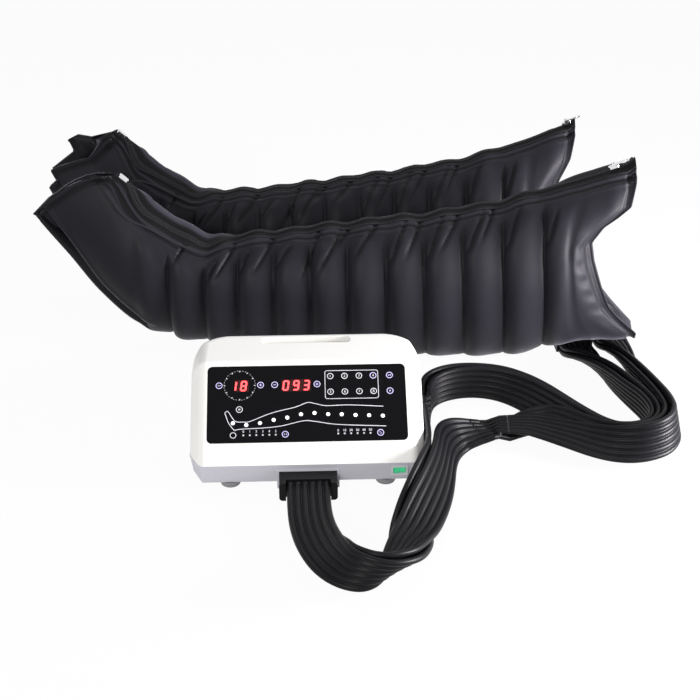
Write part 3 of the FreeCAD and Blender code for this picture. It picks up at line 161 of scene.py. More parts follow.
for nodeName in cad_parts:
    finish = nodeFinish.get(nodeName, "key" if nodeName.startswith("key_") else None)
    if finish:
        nodeObject = bpy.data.objects[nodeName]
        nodeObject.data.materials.clear()
        nodeObject.data.materials.append(materials[finish])
print("materials ready")


# Mesh helper
def newPiece(name, points, faces, material, smooth=True):
    mesh = bpy.data.meshes.new(name)
    mesh.from_pydata(np.asarray(points).reshape(-1, 3).tolist(), [], [list(map(int, f)) for f in faces])
    mesh.validate()
    mesh.update()
    piece = bpy.data.objects.new(name, mesh)
    bpy.context.scene.collection.objects.link(piece)
    mesh.materials.append(material)
    mesh.polygons.foreach_set("use_smooth", [smooth] * len(mesh.polygons))
    return piece


def gridFaces(rows, columns, closed):
    # Quads between neighbouring rows; closed joins the last column to the first.
    r = np.arange(rows - 1)[:, None]
    c = np.arange(columns if closed else columns - 1)[None, :]
    n = (c + 1) % columns
    return np.stack([r * columns + c, (r + 1) * columns + c, (r + 1) * columns + n, r * columns + n],
                    -1).reshape(-1, 4)


# Ribbon hoses: x, y, z in millimetres and the roll of the ribbon about its run in degrees
pairRoute = [
    (0, -129, 16, 0), (0, -172, 16, 0), (4, -220, 18, -8), (15, -267, 24, -25),
    (32, -304, 31, -54), (57, -329, 36, -86), (88, -330, 36, -120),
    (111, -306, 31, -146), (124, -267, 24, -166)]
frontRoute = [
    (138, -228, 22.5, -182), (153, -190, 25, -200), (168, -151, 28, -218),
    (180, -112, 30, -232), (188, -75, 30, -238), (195, -44, 27.5, -230),
    (208, -20, 24, -214), (224, -8, 21, -198), (242, -2, 19, -184)]
rearRoute = [
    (129, -228, 12, -186), (139, -190, 15.5, -204), (150, -151, 23.5, -230),
    (158, -115, 29.6, -254), (165.6, -80, 31, -268), (167, -33, 31, -270),
    (167, 14, 31, -270)]
farRouteA = [
    (288, 9.5, 22, -174), (316, 6.5, 24.8, -178), (344, -10, 26.5, -186),
    (374, -33, 30, -196), (404, -55, 32.5, -210), (434, -71, 36.5, -226),
    (466, -75, 41, -240), (500, -62, 43, -250), (522, -30, 43, -256),
    (526, 12, 41, -256), (521, 58, 38, -254), (514, 104, 36, -250),
    (508, 150, 32, -244), (505, 194, 27.5, -228), (503, 232, 22.4, -204),
    (501, 268, 16, -186), (500, 296, 14.6, -180), (495, 320, 14.6, -180),
    (482, 344, 14.6, -180), (464, 368, 14.6, -180), (443, 392, 14.6, -180),
    (424, 416, 14.6, -180), (412, 440, 14.6, -180), (408, 463, 14.6, -180),
    (408, 479, 14.6, -180)]
farRouteB = [
    (288, 11, 11, -174), (308, 21, 11.6, -176), (329, 30, 16.2, -190),
    (351, 25, 22.4, -204), (376, 0, 25, -207), (402, -31, 28.5, -212),
    (428, -51, 31.5, -223), (458, -62.5, 34.3, -240), (492, -52, 37, -250),
    (513, -21, 37, -256), (516, 20, 35, -256), (510, 64, 34, -254),
    (503, 108, 32, -250), (498, 152, 28, -243), (496, 194, 22, -226),
    (498, 234, 12.6, -202), (500, 270, 5.8, -184), (500, 296, 4.9, -180),
    (495, 320, 4.9, -180), (482, 344, 4.9, -180), (464, 368, 4.9, -180),
    (443, 392, 4.9, -180), (424, 416, 4.9, -180), (412, 440, 4.9, -180),
    (408, 463, 4.9, -180), (408, 479, 4.9, -180)]
nearRouteA = [
    (177, 48, 31, -270), (181, 78, 31, -270), (198, 102, 31, -270),
    (226, 116, 31, -268), (258, 120, 30.5, -266), (290, 112, 30, -260),
    (318, 93, 29, -248), (340, 70, 26.5, -234), (361, 47, 22.5, -222),
    (383, 18, 21.5, -214), (406, -16, 22.5, -216), (430, -41, 25.5, -225),
    (458, -54, 29, -243), (487, -43, 31, -254), (504, -16, 31, -258),
    (506, 18, 31, -258), (499, 54, 30, -256), (488, 90, 30, -251),
    (477, 126, 29, -247), (466, 160, 26, -237), (455, 194, 22.5, -219),
    (444, 224, 21.6, -197), (438, 247, 15, -182), (438, 264, 14.6, -180)]
nearRouteB = [
    (167, 48, 31, -270), (169, 82, 31, -270), (184, 110, 31, -270),
    (214, 127, 31, -268), (252, 131, 30, -266), (292, 122, 29, -260),
    (322, 101, 27, -248), (346, 79, 23, -234), (366, 57, 18.8, -220),
    (389, 27, 16.5, -212), (412, -8, 17.5, -215), (434, -32.5, 20.2, -225),
    (457, -43, 24.4, -243), (479, -36, 26.8, -256), (494, -14, 27.4, -261),
    (497, 14, 27.6, -261), (491, 46, 28.6, -258), (479, 80, 27, -252),
    (468, 115, 26, -248), (457, 150, 23.8, -238), (447, 188, 18.5, -218),
    (440, 220, 11.9, -196), (438, 246, 5.6, -182), (438, 264, 4.9, -180)]

ribbonLook = {
    "tubes": 6,
    "mainRadius": 4.4, "mainPitch": 9.7,
    "branchRadius": 4.1, "branchPitch": 9.0,
    "layerRise": 5.9,
    "webHalf": 1.5,
    "arcSteps": 9,
    "splineSteps": 14,
}


def unit(vectors):
    return vectors / np.linalg.norm(vectors, axis=-1, keepdims=True)


def ribbonFrames(route):
    # Direction across the ribbon = side * cos(roll) + lift * sin(roll), side = run x up; out = across x run.
    data = np.array(route, float)
    points = data[:, :3]
    ahead = np.vstack([points[1:], points[-1:]])
    behind = np.vstack([points[:1], points[:-1]])
    run = unit(ahead - behind)
    side = unit(np.cross(run, [0.0, 0.0, 1.0]))
    lift = np.cross(side, run)
    rollTurn = np.radians(data[:, 3:4])
    across = side * np.cos(rollTurn) + lift * np.sin(rollTurn)
    return points, across, np.cross(across, run)


def splinePoints(name, controls):
    # Points along the smooth spline that has these control points.
    curve = bpy.data.curves.new(name, "CURVE")
    curve.dimensions = "3D"
    spline = curve.splines.new("NURBS")
    spline.points.add(len(controls) - 1)
    flat = np.hstack([controls * mm, np.ones((len(controls), 1))])
    spline.points.foreach_set("co", flat.ravel())
    spline.order_u = 3
    spline.use_endpoint_u = True
    spline.resolution_u = ribbonLook["splineSteps"]
    holder = bpy.data.objects.new(name, curve)
    bpy.context.scene.collection.objects.link(holder)
    bpy.context.view_layer.update()
    line = bpy.data.meshes.new_from_object(holder)
    found = np.empty(len(line.vertices) * 3)
    line.vertices.foreach_get("co", found)
    bpy.data.objects.remove(holder)
    bpy.data.curves.remove(curve)
    bpy.data.meshes.remove(line)
    return found.reshape(-1, 3)


def ribbonSection(radius, pitch):
    # Outline of joined round tubes: arcs over the top, then back under, meeting in thin webs.
    count = ribbonLook["tubes"]
    low = math.asin(ribbonLook["webHalf"] / radius)
    over = np.linspace(math.pi - low, low, ribbonLook["arcSteps"])
    middles = (np.arange(count) - (count - 1) / 2) * pitch
    top = np.stack([middles[:, None] + radius * np.cos(over), radius * np.sin(over) + 0 * middles[:, None]],
                   -1)
    top = top.reshape(-1, 2)
    rim = np.linspace(low, -low, 5)[1:-1]
    right = np.stack([middles[-1] + radius * np.cos(rim), radius * np.sin(rim)], -1)
    under = top[::-1] * [1, -1]
    left = right[::-1] * [-1, 1]
    return np.vstack([top, right, under, left])


def makeRibbon(name, route, rises, radius, pitch):
    points, across, out = ribbonFrames(route)
    centre = points + out * np.array(rises)[:, None]
    line = splinePoints(name + "Line", centre)
    edge = splinePoints(name + "Edge", centre + across * 20.0)
    lineAcross = unit(edge - line)
    lineRun = unit(np.gradient(line, axis=0))
    lineOut = unit(np.cross(lineAcross, lineRun))
    lineAcross = np.cross(lineRun, lineOut)
    section = ribbonSection(radius, pitch) * mm
    body = line[:, None] + lineAcross[:, None] * section[None, :, :1] + lineOut[:, None] * section[None, :,
                                                                                                   1:]
    rows, columns = len(line), len(section)
    faces = gridFaces(rows, columns, True).tolist()
    faces.append(list(range(columns - 1, -1, -1)))
    faces.append(list(range((rows - 1) * columns, rows * columns)))
    piece = newPiece(name, body, faces, materials["hose"])
    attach(piece, mainBody)
    length = float(np.linalg.norm(np.diff(line, axis=0), axis=1).sum())
    return piece, length


layer = ribbonLook["layerRise"]
pairCount = len(pairRoute)
ribbons = (
    ("mainRibbonFront", "main_hose_front", pairRoute + frontRoute,
     [-layer] * pairCount + [0] * len(frontRoute), "connector", ["hose_splitters_front"]),
    ("mainRibbonRear", "main_hose_rear", pairRoute + rearRoute,
     [layer] * pairCount + [0] * len(rearRoute), "connector", ["hose_splitters_rear"]),
    ("farRibbonA", "far_hose_a", farRouteA, [0] * len(farRouteA), "object", []),
    ("farRibbonB", "far_hose_b", farRouteB, [0] * len(farRouteB), "object", []),
    ("nearRibbonA", "near_hose_a", nearRouteA, [0] * len(nearRouteA), "object", []),
    ("nearRibbonB", "near_hose_b", nearRouteB, [0] * len(nearRouteB), "object", []),
)
for name, node, route, rises, farEnd, onEnd in ribbons:
    kind = "main" if node.startswith("main") else "branch"
    piece, length = makeRibbon(
        name, route, rises, ribbonLook[kind + "Radius"], ribbonLook[kind + "Pitch"])
    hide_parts(node)
    print(name, round(length, 3))
print("ribbons ready")


# Printed panel: u runs right and v up the slope from the panel's centre, in millimetres
panelPlace = {"centre": (0.0, -41.92, 95.13), "slope": 39.0, "print": 0.06, "key": 0.87}
slope = math.radians(panelPlace["slope"])
panelAxes = np.array([[1, 0, 0], [0, math.cos(slope), math.sin(slope)],
                      [0, -math.sin(slope), math.cos(slope)]])


def onPanel(flat, height):
    # Point in space = panel centre + u * right + v * up the slope + height * outward.
    flat = np.asarray(flat, float)
    local = np.concatenate([flat, np.full(flat.shape[:-1] + (1,), height)], -1)
    return (np.array(panelPlace["centre"]) + local @ panelAxes) * mm


def strokeMesh(path, width, closed):
    # Flat band: each point moved half the width to both sides of the path's direction.
    path = np.array(path, float)
    if closed:
        path = np.vstack([path, path[:1]])
    run = unit(np.gradient(path, axis=0))
    if closed:
        run[0] = run[-1] = unit(path[1] - path[-2])
    side = np.stack([-run[:, 1], run[:, 0]], -1) * width / 2
    return np.vstack([path + side, path - side]), len(path)


def addStrokes(name, strokes, height, material, body=mainBody):
    allPoints, allFaces, start = [], [], 0
    for path, width, closed in strokes:
        band, count = strokeMesh(path, width, closed)
        i = np.arange(count - 1)
        allFaces.append(np.stack([i + count, i + count + 1, i + 1, i], -1) + start)
        allPoints.append(band)
        start += len(band)
    points = onPanel(np.vstack(allPoints), height)
    piece = newPiece(name, points, np.vstack(allFaces).tolist(), material, False)
    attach(piece, body)
    return piece


def ring(u, v, radius, steps=40):
    turnAngles = np.linspace(0, 2 * math.pi, steps, endpoint=False)
    return np.stack([u + radius * np.cos(turnAngles), v + radius * np.sin(turnAngles)], -1)


def roundedBox(u0, u1, v0, v1, radius):
    # Four quarter arcs joined in order round the box.
    quarter = np.linspace(0, math.pi / 2, 8)
    corners = [(u1 - radius, v1 - radius, 0), (u0 + radius, v1 - radius, 1),
               (u0 + radius, v0 + radius, 2), (u1 - radius, v0 + radius, 3)]
    arcs = [np.stack([u + radius * np.cos(quarter + k * math.pi / 2),
                      v + radius * np.sin(quarter + k * math.pi / 2)], -1) for u, v, k in corners]
    return np.vstack(arcs)


def smoothLine(points, steps=12):
    # Catmull-Rom: cubic between neighbours with slopes from the points either side.
    p = np.array(points, float)
    p = np.vstack([2 * p[0] - p[1], p, 2 * p[-1] - p[-2]])
    t = np.linspace(0, 1, steps, endpoint=False)[None, :, None]
    a, b, c, d = (p[i:len(p) - 3 + i, None] for i in range(4))
    curve = 0.5 * (2 * b + (c - a) * t + (2 * a - 5 * b + 4 * c - d) * t**2 + (3 * b - a - 3 * c + d) * t**3)
    return np.vstack([curve.reshape(-1, p.shape[1]), p[-2:-1]])


printLook = {
    "line": 0.75, "legLine": 0.9, "keyLine": 0.7,
    "dialRadius": 21.4, "tickCount": 12, "tickLength": 1.7, "tickWidth": 1.1,
    "dialDots": 72, "dotWidth": 0.35, "ringWidth": 0.85,
    "keyRing": 3.9, "modeRing": 4.0, "holdMark": (-100.4, -44.5),
}
legTop = [(-111.1, -14.5), (-111.6, -12.2), (-109.6, -10.2), (-107.2, -10.6), (-101.7, -19.5),
          (-96.6, -25.0),
          (-86.5, -25.7), (-77.6, -25.0), (-48.3, -13.5), (-16.5, -5.7), (0.6, 0.7), (10.9, -1.0),
          (26.8, -4.3), (56.6, -3.8), (103.9, -6.6)]
legBottom = [(-111.1, -14.5), (-106.6, -26.7), (-98.9, -37.1), (-96.0, -36.6), (-86.6, -35.7),
             (-59.7, -34.7),
             (-34.9, -32.2), (-5.4, -25.6), (10.5, -26.7), (42.4, -31.7), (106.8, -35.1)]
dial = (-91.9, 27.3)
modeSpots = [(u, v) for v in (38.9, 15.9) for u in (32.6, 52.2, 72.1, 91.7)]

outlines = [
    (smoothLine(legTop), printLook["legLine"], False),
    (smoothLine(legBottom), printLook["legLine"], False),
    (roundedBox(25.2, 98.3, 5.7, 46.9, 3.0), printLook["line"], True),
]
inner = printLook["dialRadius"]
for k in range(printLook["tickCount"]):
    angle = 2 * math.pi * k / printLook["tickCount"]
    way = np.array([math.sin(angle), math.cos(angle)])
    tick = [np.array(dial) + way * (inner - printLook["tickLength"]), np.array(dial) + way * inner]
    outlines.append((np.array(tick), printLook["tickWidth"], False))
dots = printLook["dialDots"]
for k in range(dots):
    if k % 2 == 0:
        arc = 2 * math.pi * (np.arange(4) / 3 * 0.9 + k) / dots
        outlines.append((np.stack([dial[0] + inner * np.sin(arc), dial[1] + inner * np.cos(arc)], -1),
                         printLook["dotWidth"], False))
addStrokes("panelOutlines", outlines, panelPlace["print"], materials["printPaintedGlow"])

plainRings = [(ring(u, v, printLook["modeRing"]), printLook["ringWidth"], True)
              for u, v in modeSpots[:3] + modeSpots[4:]]
plainRings.append((ring(*printLook["holdMark"], printLook["keyRing"]), 0.8, True))
addStrokes("modeRings", plainRings, panelPlace["print"], materials["printPaintedGlow"])
litRing = ring(*modeSpots[3], printLook["keyRing"] + 0.3)
addStrokes("modeRingLit", [(litRing, printLook["ringWidth"], True)],
           panelPlace["print"], materials["keyLit"])

# Key marks ride on their keys: place u v, then bars as offset u, offset v, half length, upright or not
keyMarks = {
    "key_time_minus": (-119.9, 27.2, [(0, 0, 1.9, False)]),
    "key_time_plus": (-63.3, 27.2, [(0, 0, 1.9, False), (0, 0, 1.9, True)]),
    "key_pressure_minus": (-43.9, 27.2, [(0, 0, 1.9, False)]),
    "key_pressure_plus": (14.2, 27.2, [(0, 0, 1.9, False), (0, 0, 1.9, True)]),
    "key_mode": (114.2, 38.6, [(-1.5, 0, 0.9, True), (1.5, 0, 0.9, True), (0, 0, 1.5, False)]),
    "key_start": (114.2, 15.6, [(0, -0.5, 1.0, False), (0, 0.5, 1.0, False)]),
    "key_hold": (-30.0, -44.5, [(-1.4, 0, 1.1, True), (1.4, 0, 1.1, True)]),
    "key_interval": (99.0, -44.5, [(-0.8, 0.9, 1.1, False), (0.8, -0.9, 1.1, False)]),
    "key_individual": (-92.1, -7.9,
                       [(0, 0.9, 0.9, False), (0, -0.9, 0.9, False), (0.9, 0, 0.9, True),
                        (-0.9, 0, 0.9, True)]),
}
for keyName, (u, v, bars) in keyMarks.items():
    strokes = [(ring(u, v, printLook["keyRing"] + 0.3), printLook["ringWidth"], True)]
    for du, dv, reach, upright in bars:
        across = np.array([0.0, reach]) if upright else np.array([reach, 0.0])
        middle = np.array([u + du, v + dv])
        strokes.append((np.array([middle - across, middle + across]), printLook["keyLine"], False))
    finish = materials["printPaintedGlow"] if keyName == "key_individual" else materials["keyLit"]
    addStrokes(keyName + "Mark", strokes, panelPlace["key"], finish, keyName + "_body")

# Seven segment digits
digitLook = {"width": 8.6, "height": 15.0, "stroke": 2.1, "slant": 0.13, "gap": 0.35}
segments = {"a": (0, 2, 1, 2), "b": (1, 1, 1, 2), "c": (1, 0, 1, 1), "d": (0, 0, 1, 0),
            "e": (0, 0, 0, 1), "f": (0, 1, 0, 2), "g": (0, 1, 1, 1)}
shapes = {"0": "abcdef", "1": "bc", "3": "abcdg", "8": "abcdefg", "9": "abcdfg"}
digits = []
shownDigits = (("1", -100.4, 26.5), ("8", -86.4, 26.5), ("0", -28.6, 26.2), ("9", -14.5, 26.2),
               ("3", -0.4, 26.2))
for text, u, v in shownDigits:
    wide = digitLook["width"] - digitLook["stroke"]
    tall = digitLook["height"] - digitLook["stroke"]
    for name in shapes[text]:
        ends = np.array(segments[name], float).reshape(2, 2) - [0.5, 1]
        ends = ends * [wide, tall / 2]
        way = unit(ends[1] - ends[0])
        ends = np.array([ends[0] + way * digitLook["gap"], ends[1] - way * digitLook["gap"]])
        steps = np.array([[0.0], [0.18], [0.82], [1.0]])
        ends = ends[0] + (ends[1] - ends[0]) * steps
        ends[:, 0] += ends[:, 1] * digitLook["slant"] + u
        ends[:, 1] += v
        digits.append((ends, digitLook["stroke"], False))
addStrokes("displayDigits", digits, -0.05, materials["segment"])


def addNumbers(name, labels, size, height, material):
    # Each number is a text outline turned to a mesh and laid on the panel about its own middle.
    points, faces, start = [], [], 0
    for text, u, v in labels:
        curve = bpy.data.curves.new("numberText", "FONT")
        curve.body = text
        curve.size = size
        curve.align_x = "CENTER"
        curve.align_y = "CENTER"
        holder = bpy.data.objects.new("numberText", curve)
        bpy.context.scene.collection.objects.link(holder)
        bpy.context.view_layer.update()
        mesh = bpy.data.meshes.new_from_object(holder)
        flat = np.empty(len(mesh.vertices) * 3)
        mesh.vertices.foreach_get("co", flat)
        points.append(flat.reshape(-1, 3)[:, :2] + [u, v])
        faces += [[i + start for i in polygon.vertices] for polygon in mesh.polygons]
        start += len(mesh.vertices)
        bpy.data.objects.remove(holder)
        bpy.data.curves.remove(curve)
        bpy.data.meshes.remove(mesh)
    piece = newPiece(name, onPanel(np.vstack(points), height), faces, material, False)
    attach(piece, mainBody)
    return piece


labels = [(str(k), -86.6 + 8.75 * k, -39.6) for k in range(6)]
labels += [(str(10 * k), 41.5 + 8.75 * k, -40.2) for k in range(6)]
addNumbers("dotNumbers", labels, 4.6, panelPlace["print"], materials["printPaintedGlow"])
modeLabels = [(str(k + 1), u, v) for k, (u, v) in enumerate(modeSpots)]
addNumbers("modeNumbers", modeLabels, 5.2, panelPlace["print"], materials["printPaintedGlow"])
print("panel print ready")


# Cloth finish: colour = painted shade end to full by the piece's own tone value, which holds painted shade and
# painted highlight, with a noise; fine weave in the bump
def newCloth(name, spec):
    material = bpy.data.materials.new(name)
    material.use_nodes = True
    nodes = material.node_tree.nodes
    links = material.node_tree.links
    shader = nodes["Principled BSDF"]
    where = nodes.new("ShaderNodeTexCoord")
    noise = nodes.new("ShaderNodeTexNoise")
    noise.inputs["Scale"].default_value = spec["scale"]
    noise.inputs["Detail"].default_value = 5.0
    links.new(where.outputs["Object"], noise.inputs["Vector"])
    cloudy = nodes.new("ShaderNodeMix")
    cloudy.data_type = "RGBA"
    cloudy.inputs["A"].default_value = (*spec["color"], 1.0)
    cloudy.inputs["B"].default_value = (*spec["second"], 1.0)
    links.new(noise.outputs["Fac"], cloudy.inputs["Factor"])
    # Tone attribute: low values are painted shade, high values painted highlight.
    paintedLightValue = nodes.new("ShaderNodeAttribute")
    paintedLightValue.attribute_name = "tone"
    tone = nodes.new("ShaderNodeMix")
    tone.data_type = "RGBA"
    tone.inputs["A"].default_value = (*spec["paintedShadeEnd"], 1.0)
    links.new(paintedLightValue.outputs["Fac"], tone.inputs["Factor"])
    links.new(cloudy.outputs["Result"], tone.inputs["B"])
    links.new(tone.outputs["Result"], shader.inputs["Base Color"])
    threads = []
    for direction in ("X", "Y"):
        wave = nodes.new("ShaderNodeTexWave")
        wave.bands_direction = direction
        wave.inputs["Scale"].default_value = 0.314 / spec["threadPitch"]
        wave.inputs["Distortion"].default_value = 0.6
        links.new(where.outputs["UV"], wave.inputs["Vector"])
        threads.append(wave)
    weave = nodes.new("ShaderNodeMath")
    weave.operation = "MAXIMUM"
    links.new(threads[0].outputs["Fac"], weave.inputs[0])
    links.new(threads[1].outputs["Fac"], weave.inputs[1])
    bump = nodes.new("ShaderNodeBump")
    bump.inputs["Strength"].default_value = spec["bump"]
    bump.inputs["Distance"].default_value = 0.0002
    links.new(weave.outputs["Value"], bump.inputs["Height"])
    links.new(bump.outputs["Normal"], shader.inputs["Normal"])
    shader.inputs["Roughness"].default_value = spec["rough"]
    shader.inputs["Specular IOR Level"].default_value = spec["specular"]
    shader.inputs["Sheen Weight"].default_value = spec["sheen"]
    shader.inputs["Sheen Roughness"].default_value = spec["sheenRough"]
    shader.inputs["Sheen Tint"].default_value = (*spec["sheenTint"], 1.0)
    return material


# In each cloth the first two colours are the painted highlight end of the tone mix and the third the painted
# shade end; the sleeve fabric's own colour lies near tone 0.3.
clothLook = {
    "fabric": {"color": (0.0290, 0.0280, 0.0370), "second": (0.0370, 0.0355, 0.0470),
               "paintedShadeEnd": (0.0012, 0.0012, 0.0015),
               "rough": 0.48, "specular": 0.10, "sheen": 0.14, "sheenRough": 0.32, "sheenTint": (0.86, 0.83,
                                                                                                 1.0),
               "scale": 9.0, "bump": 0.12, "threadPitch": 0.0011},
    "tape": {"color": (0.022, 0.022, 0.026), "second": (0.030, 0.030, 0.035),
             "paintedShadeEnd": (0.0015, 0.0015, 0.0018),
             "rough": 0.6, "specular": 0.10, "sheen": 0.03, "sheenRough": 0.4, "sheenTint": (0.85, 0.85,
                                                                                             1.0),
             "scale": 30.0, "bump": 0.25, "threadPitch": 0.0016},
}
for clothName, spec in clothLook.items():
    materials[clothName] = newCloth(clothName, spec)

# Sleeves: underside x z, ridge x z, half thickness of each station, in the sleeve's straight frame
sleeveSections = [
    (512, 26, 500, 324, 46), (476, 26, 470, 313, 62), (440, 25, 440, 302, 72),
    (402, 20, 406, 291, 76), (350, 3, 350, 276, 78), (290, -1, 290, 260, 78),
    (200, -1, 200, 243, 78), (110, -1, 110, 232, 76), (20, 4, 25, 221, 72),
    (-80, 10, -65, 209, 66), (-183, 25, -115, 203, 62),
    (-266, 48, -150, 206, 58), (-324, 106, -200, 231, 55),
    (-374, 176, -242, 265, 50), (-419, 239, -283, 301, 40)]
sleevePlace = {"rowY": 286.0, "turn": -2.4}
sleeveLook = {
    "rings": 425, "around": 220, "innerRings": 22,
    "seams": (366, 304, 243, 184, 126, 67, 10, -46, -102, -154, -208), "seamLean": 0.00022,
    "seamWidth": 2.1, "seamDepth": 4.6, "puff": 8.0, "puffLean": 1.7,
    "topFree": 30.0, "topBlend": 30.0, "pinch": 1.22,
    "pipe": 18.0, "pipeRise": 1.8, "secondBand": 31.0, "ridgeWave": 5.0,
    "creaseDepth": 4.4, "creaseWidth": 2.3,
    "mouthFade": 130.0, "hem": 11.0, "hemDepth": 3.0, "tipRise": 10.0, "flapPlace": 16.0,
    "zipLean": 21.0, "backLift": 2.5, "backWidth": 12.0, "solePinch": 1.0,
    "soleGap": (0.36, 0.45, 0.66, 0.76), "soleDepth": 15.0,
    "toeHem": 9.0, "legGap": 0.46, "mouthDepth": 22.0, "floor": 0.4,
}
mouthHeights = (3, 26, 45, 60, 80, 100, 140, 184, 212, 235, 250, 266, 300, 330)
toePlaces = (0.0, 0.1, 0.2, 0.28, 0.4, 0.5, 0.62, 0.75, 1.0)
sagPlaces = (-200, -115, -65, 25, 110, 200, 350, 455)
sleeveShapes = {
    "near": {"shift": (0.0, 0.0), "seed": 0.0, "toeFlat": 0.74, "toeFade": 0.86, "flap": 8.0,
             "sag": (0, 0, 0, 0, 0, 0, 0, 0),
             "mouthShifts": (10, 22, 20, 5, -14, -30, -46, -60, -65, -48, -26, -6, 2, 2),
             "toeX": (1, 0, -2, -1, 0, 2, 3, 3, 1), "toeZ": (0, 6, 11, 14, 19, 21, 21, 17, 2)},
    "far": {"shift": (-30.0, 215.0), "seed": 2.1, "toeFlat": 0.80, "toeFade": 0.84, "flap": 0.0,
            "sag": (0, 8, 14, 15, 13, 9, 8, 6),
            "mouthShifts": (0, 6, 4, -8, -30, -46, -56, -60, -52, -42, -34, -26, -18, -16),
            "toeX": (19, 0, 1, -18, 11, 18, 19, 19, 2), "toeZ": (-53, -43, -37, -22, -14, -15, -8, 0, 2),
            "toeXFar": (19, 0, 1, -19, 5, -16, -14, 3, 2), "toeZFar": (-53, -43, -37, -24, -1, 13, 15, 1,
                                                                       2)},
}
creases = [
    (-200, 178, -176, 208), (-150, 150, -134, 176), (-137, 153, -106, 200), (-100, 160, -84, 190),
    (-78, 160, -42, 216), (-44, 170, -20, 200), (-3, 158, 29, 229), (24, 168, 60, 224), (46, 198, 78, 234),
    (78, 190, 131, 252), (128, 176, 160, 240), (156, 190, 189, 258), (186, 184, 214, 244),
    (208, 200, 243, 256), (246, 196, 276, 252), (269, 214, 297, 270), (306, 204, 330, 260), (368, 213, 386,
                                                                                             262)]


def stationsAt(share):
    # Catmull-Rom through the stations, one value of share from thigh 0 to toe 1.
    stations = np.array(sleeveSections, float)
    count = len(stations)
    padded = np.vstack([2 * stations[0] - stations[1], stations, 2 * stations[-1] - stations[-2]])
    place = share * (count - 1)
    k = np.clip(np.floor(place).astype(int), 0, count - 2)
    t = (place - k)[:, None]
    a, b, c, d = padded[k], padded[k + 1], padded[k + 2], padded[k + 3]
    return 0.5 * (2 * b + (c - a) * t + (2 * a - 5 * b + 4 * c - d) * t**2 + (3 * b - a - 3 * c + d) * t**3)


def smoothStep(low, high, value):
    # 0 below low, 1 above high, 3t^2 - 2t^3 between.
    t = np.clip((value - low) / (high - low), 0, 1)
    return t * t * (3 - 2 * t)


def bell(value, middle, width):
    # e to the minus ((value - middle) / width) squared.
    return np.exp(-((value - middle) / width) ** 2)


def sleeveOval(stations, turns, scale):
    # Point = middle + (ridge - middle) * cos + across * half * sin, drawn in towards the ridge and the sole.
    low = np.stack([stations[:, 0], 0 * stations[:, 0], stations[:, 1]], -1)[:, None]
    high = np.stack([stations[:, 2], 0 * stations[:, 2], stations[:, 3]], -1)[:, None]
    middle = (low + high) / 2
    up = np.cos(turns)[..., None]
    side = np.sin(turns)[..., None]
    ridgePower = np.abs(side) ** (sleeveLook["pinch"] - 1)
    solePower = np.abs(side) ** (sleeveLook["solePinch"] * stations[:, 5][:, None, None])
    narrowed = side * (1 - np.clip(up, 0, 1) * (1 - ridgePower) - np.clip(-up, 0, 1) * (1 - solePower))
    across = np.array([0.0, 1.0, 0.0]) * (stations[:, 4][:, None, None] * narrowed)
    return middle + ((high - middle) * up + across) * scale


def segmentDepth(x, z, x0, z0, x1, z1, width):
    # Valley along a line: falls off with distance from it and fades to both ends.
    run = np.array([x1 - x0, z1 - z0])
    size = np.hypot(*run)
    along = ((x - x0) * run[0] + (z - z0) * run[1]) / size**2
    away = ((x - x0) * run[1] - (z - z0) * run[0]) / size
    fade = smoothStep(-0.15, 0.35, along) * (1 - smoothStep(0.75, 1.15, along))
    return fade * np.exp(-(np.abs(away) / width) ** 1.3)


def surfaceNormals(points, closed=True):
    # Cross product of the steps around and along the grid, made unit length.
    along = np.gradient(points, axis=0)
    across = np.roll(points, -1, axis=1) - np.roll(points, 1, axis=1) if closed else np.gradient(points,
                                                                                                 axis=1)
    normal = np.cross(across, along)
    return normal / np.maximum(np.linalg.norm(normal, axis=-1, keepdims=True), 1e-9)


def chamberPart(x, z=200.0):
    # Share of the way across the chamber that x lies in, how far x is inside the chambers, distance to a seam.
    x = x - sleeveLook["seamLean"] * np.clip(200.0 - z, 0, 200) * (x + 50.0)
    seams = np.array(sleeveLook["seams"], float)
    edges = np.concatenate([[seams[0] + 66], seams, [seams[-1] - 60]])
    cell = np.clip(np.searchsorted(-edges, -x.ravel()) - 1, 0, len(edges) - 2).reshape(x.shape)
    part = np.clip((edges[cell] - x) / (edges[cell] - edges[cell + 1]), 0, 1)
    toSeam = np.min(np.abs(x[..., None] - seams), axis=-1)
    inside = smoothStep(edges[-1], edges[-1] + 32, x) * (1 - smoothStep(edges[0] - 32, edges[0], x))
    return part, inside, toSeam


def ridgeRise(x, shape):
    # Height of the wavy ridge: 1 - cos across each chamber, plus the raised tip, less this sleeve's sag.
    part, inside, toSeam = chamberPart(x)
    calm = smoothStep(-215, -150, x) * (1 - smoothStep(330, 420, x))
    wave = sleeveLook["ridgeWave"] * calm * (-0.5 * np.cos(2 * math.pi * part) - 0.35 + 0.3 * np.sin(x / 17.0))
    sag = np.interp(x, sagPlaces, shape["sag"])
    return wave - sag + sleeveLook["tipRise"] * smoothStep(487, 506, x)


def zipperLean(share):
    # How far the zipper runs down the near side, along the foot.
    return sleeveLook["zipLean"] * smoothStep(0.68, 0.80, share) * (1 - smoothStep(0.90, 0.985, share))


def mouthShift(points, first, shape):
    # Concave thigh end: each height's shift, fading along the leg.
    shift = np.interp(points[..., 2], mouthHeights, shape["mouthShifts"])
    back = (first[0] + first[2]) / 2 - points[..., 0]
    return shift * (1 - smoothStep(-10, sleeveLook["mouthFade"], back))


